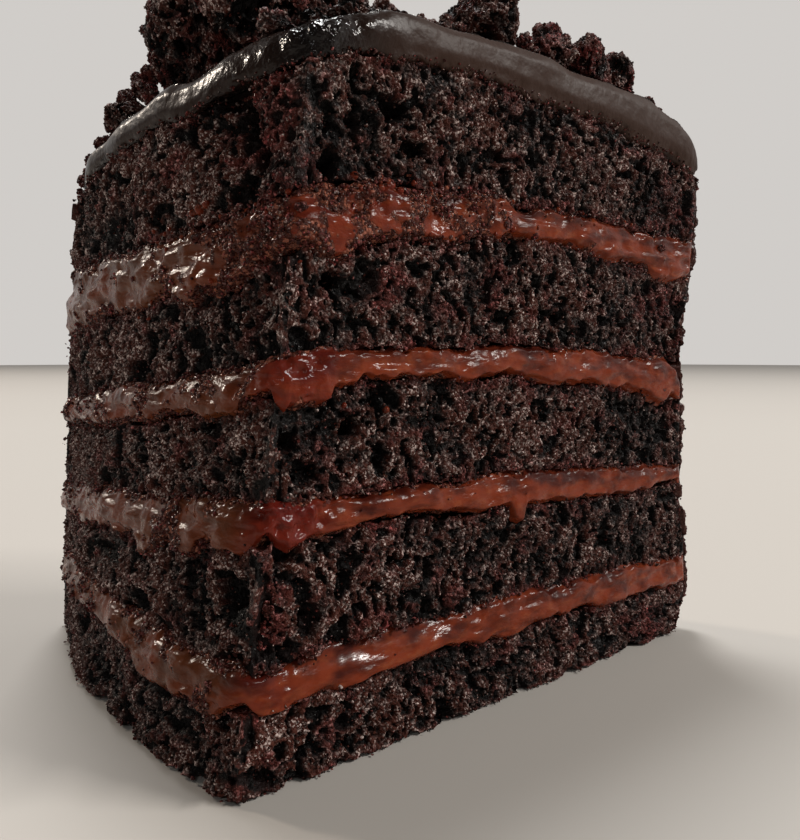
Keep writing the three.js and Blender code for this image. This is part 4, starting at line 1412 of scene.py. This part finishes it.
class CAKE_OT_loose_crumbs(bpy.types.Operator):
    """Strews loose crumbs over the cut faces and the torn cake"""

    bl_idname = "cake.loose_crumbs"
    bl_label = "Loose crumbs"

    def execute(self, context):
        settings = context.scene.cake
        rng = np.random.default_rng(CRUMB_SEED)
        objects = bpy.data.objects
        sponges = [objects[f"torn_{node}"] for node in SPONGES]
        fillings = [objects[f"pressed_{node}"] for node in FILLINGS]
        edges = [objects["poured_glaze"], objects["spread_side_coat"]]
        torn = [objects[f"torn_{node}"] for node in CHUNKS + ["crumb_bed"]]
        open_crumb = material_called("open_cocoa_crumb", crumb_material, settings)
        torn_crumb = material_called("torn_cocoa_crumb", crumb_material, settings)
        for name, pieces in (
            ("grains_on_sponge", sponges),
            ("crumbs_at_seams", fillings),
            ("crumbs_in_seams", sponges),
            ("crumbs_at_edges", edges),
        ):
            self.scatter(rng, name, pieces, open_crumb, "sponge")
        surface = np.concatenate(
            [points_of(p.data)[number_of(p.data, "open") > 0.5] for p in sponges + fillings]
        )
        self.add_bits(rng, surface, settings)
        self.scatter(rng, "grains_on_torn_cake", torn, torn_crumb, "crumb")
        self.add_lumps(rng, "lone_lumps", np.array(LONE_LUMPS), torn_crumb)
        cut = np.array(CUT_LUMPS)
        middles = self.on_the_cut(surface, cut)
        soaked = np.full((len(cut), 1), 0.85)
        self.add_lumps(rng, "soaked_lumps", np.hstack([middles, cut[:, 2:], soaked]), open_crumb)
        return {"FINISHED"}

    def scatter(self, rng, name, pieces, material, slot):
        """Strews one kind of crumb over pieces of the cake."""
        kind, count, (kept, base), (least, more, rarity), (red, dark), out = SCATTERED[name]
        count //= FEWER
        places, ways = strewn_over(rng, pieces, count, kept, base)
        sizes = least + more * rng.uniform(size=count) ** rarity
        reddish = red * (rng.uniform(size=count) > dark)
        # The crumbs in the seams lie at different depths
        if name == "crumbs_in_seams":
            out = rng.uniform(*out, (count, 1))
        strew(rng, name, places + ways * out, sizes, kind, material, reddish)

    def on_the_cut(self, surface, spots):
        """The points of the cut faces nearest to places along the cut and heights."""
        where = along_cut(surface)
        found = []
        for at, height, _ in spots:
            found.append(surface[far_from(surface, where, at, height, 1, 1).argmin()])
        return np.array(found)

    def add_bits(self, rng, surface, settings):
        """Bits of filling, the named ones and many small ones beside the top filling."""
        named = np.array(BITS)
        line = CutLine("filling_4", FILLING_ROUNDING)
        count = SMALL_BITS
        along = rng.uniform(*SMALL_BITS_REACH, count)
        edge = np.where(rng.uniform(size=count) > 0.4, 1, 0)
        level = np.choose(edge, [np.interp(along, line.stations, e[:, 2]) for e in line.lines])
        level += rng.normal(0.0, 0.9, count)
        small = np.stack([along, level, rng.uniform(0.4, 0.9, count)], -1)
        spots = np.concatenate([named, small])
        places = self.on_the_cut(surface, spots)
        filling = material_called("set_chocolate_ganache", filling_material, settings)
        dry = np.zeros(len(spots))
        piece = strew(rng, "filling_bits", places, spots[:, 2], "blob", filling, dry)
        points = points_of(piece.data)
        keep_number(piece.data, "lumpy", 0.6 + 0.4 * swell(points, 1.5, 501))
        keep_number(piece.data, "crumby", 0.25 + 0.3 * swell(points, 1.2, 502))

    def add_lumps(self, rng, name, lone, material):
        """Each lone lump is a ball of grains round its middle."""
        places = []
        sizes = []
        reds = []
        for x, y, z, radius, red in lone:
            count = int(GRAINS_TO_A_MM * radius)
            way = rng.normal(size=(count, 3))
            way /= np.linalg.norm(way, axis=1, keepdims=True)
            size = rng.uniform(0.25, 0.45, count) * radius
            spread = way * (radius - size)[:, None] * rng.uniform(0.6, 1.25, 3)
            places.append(np.array((x, y, z)) + spread)
            sizes.append(size)
            places.append(np.array([(x, y, z)]))
            sizes.append(np.array([radius * 0.8]))
            reds.append(np.full(count + 1, red))
        places = np.concatenate(places)
        sizes = np.concatenate(sizes)
        reddish = 0.8 * (rng.uniform(size=len(sizes)) < np.concatenate(reds))
        strew(rng, name, places, sizes, "lump", material, reddish)


class CAKE_PT_panel(bpy.types.Panel):
    """Lists the steps in the order they are made"""

    bl_label = "Chocolate layer cake"
    bl_idname = "CAKE_PT_panel"
    bl_space_type = "VIEW_3D"
    bl_region_type = "UI"
    bl_category = "Cake"

    def draw(self, context):
        for step in STEPS:
            self.layout.operator(step.bl_idname)
        for name in CakeSettings.__annotations__:
            self.layout.prop(context.scene.cake, name)


STEPS = (
    CAKE_OT_stage,
    CAKE_OT_sponges,
    CAKE_OT_fillings,
    CAKE_OT_glaze,
    CAKE_OT_side_coat,
    CAKE_OT_torn_cake,
    CAKE_OT_loose_crumbs,
)
CLASSES = (CakeSettings, *STEPS, CAKE_PT_panel)


def register():
    for made in CLASSES:
        bpy.utils.register_class(made)
    bpy.types.Scene.cake = bpy.props.PointerProperty(type=CakeSettings)


def unregister():
    del bpy.types.Scene.cake
    for made in reversed(CLASSES):
        bpy.utils.unregister_class(made)


def main():
    """Makes the whole cake."""
    register()
    bpy.ops.cake.stage()
    bpy.ops.cake.sponges()
    bpy.ops.cake.fillings()
    bpy.ops.cake.glaze()
    bpy.ops.cake.side_coat()
    bpy.ops.cake.torn_cake()
    bpy.ops.cake.loose_crumbs()


if __name__ == "__main__":
    main()
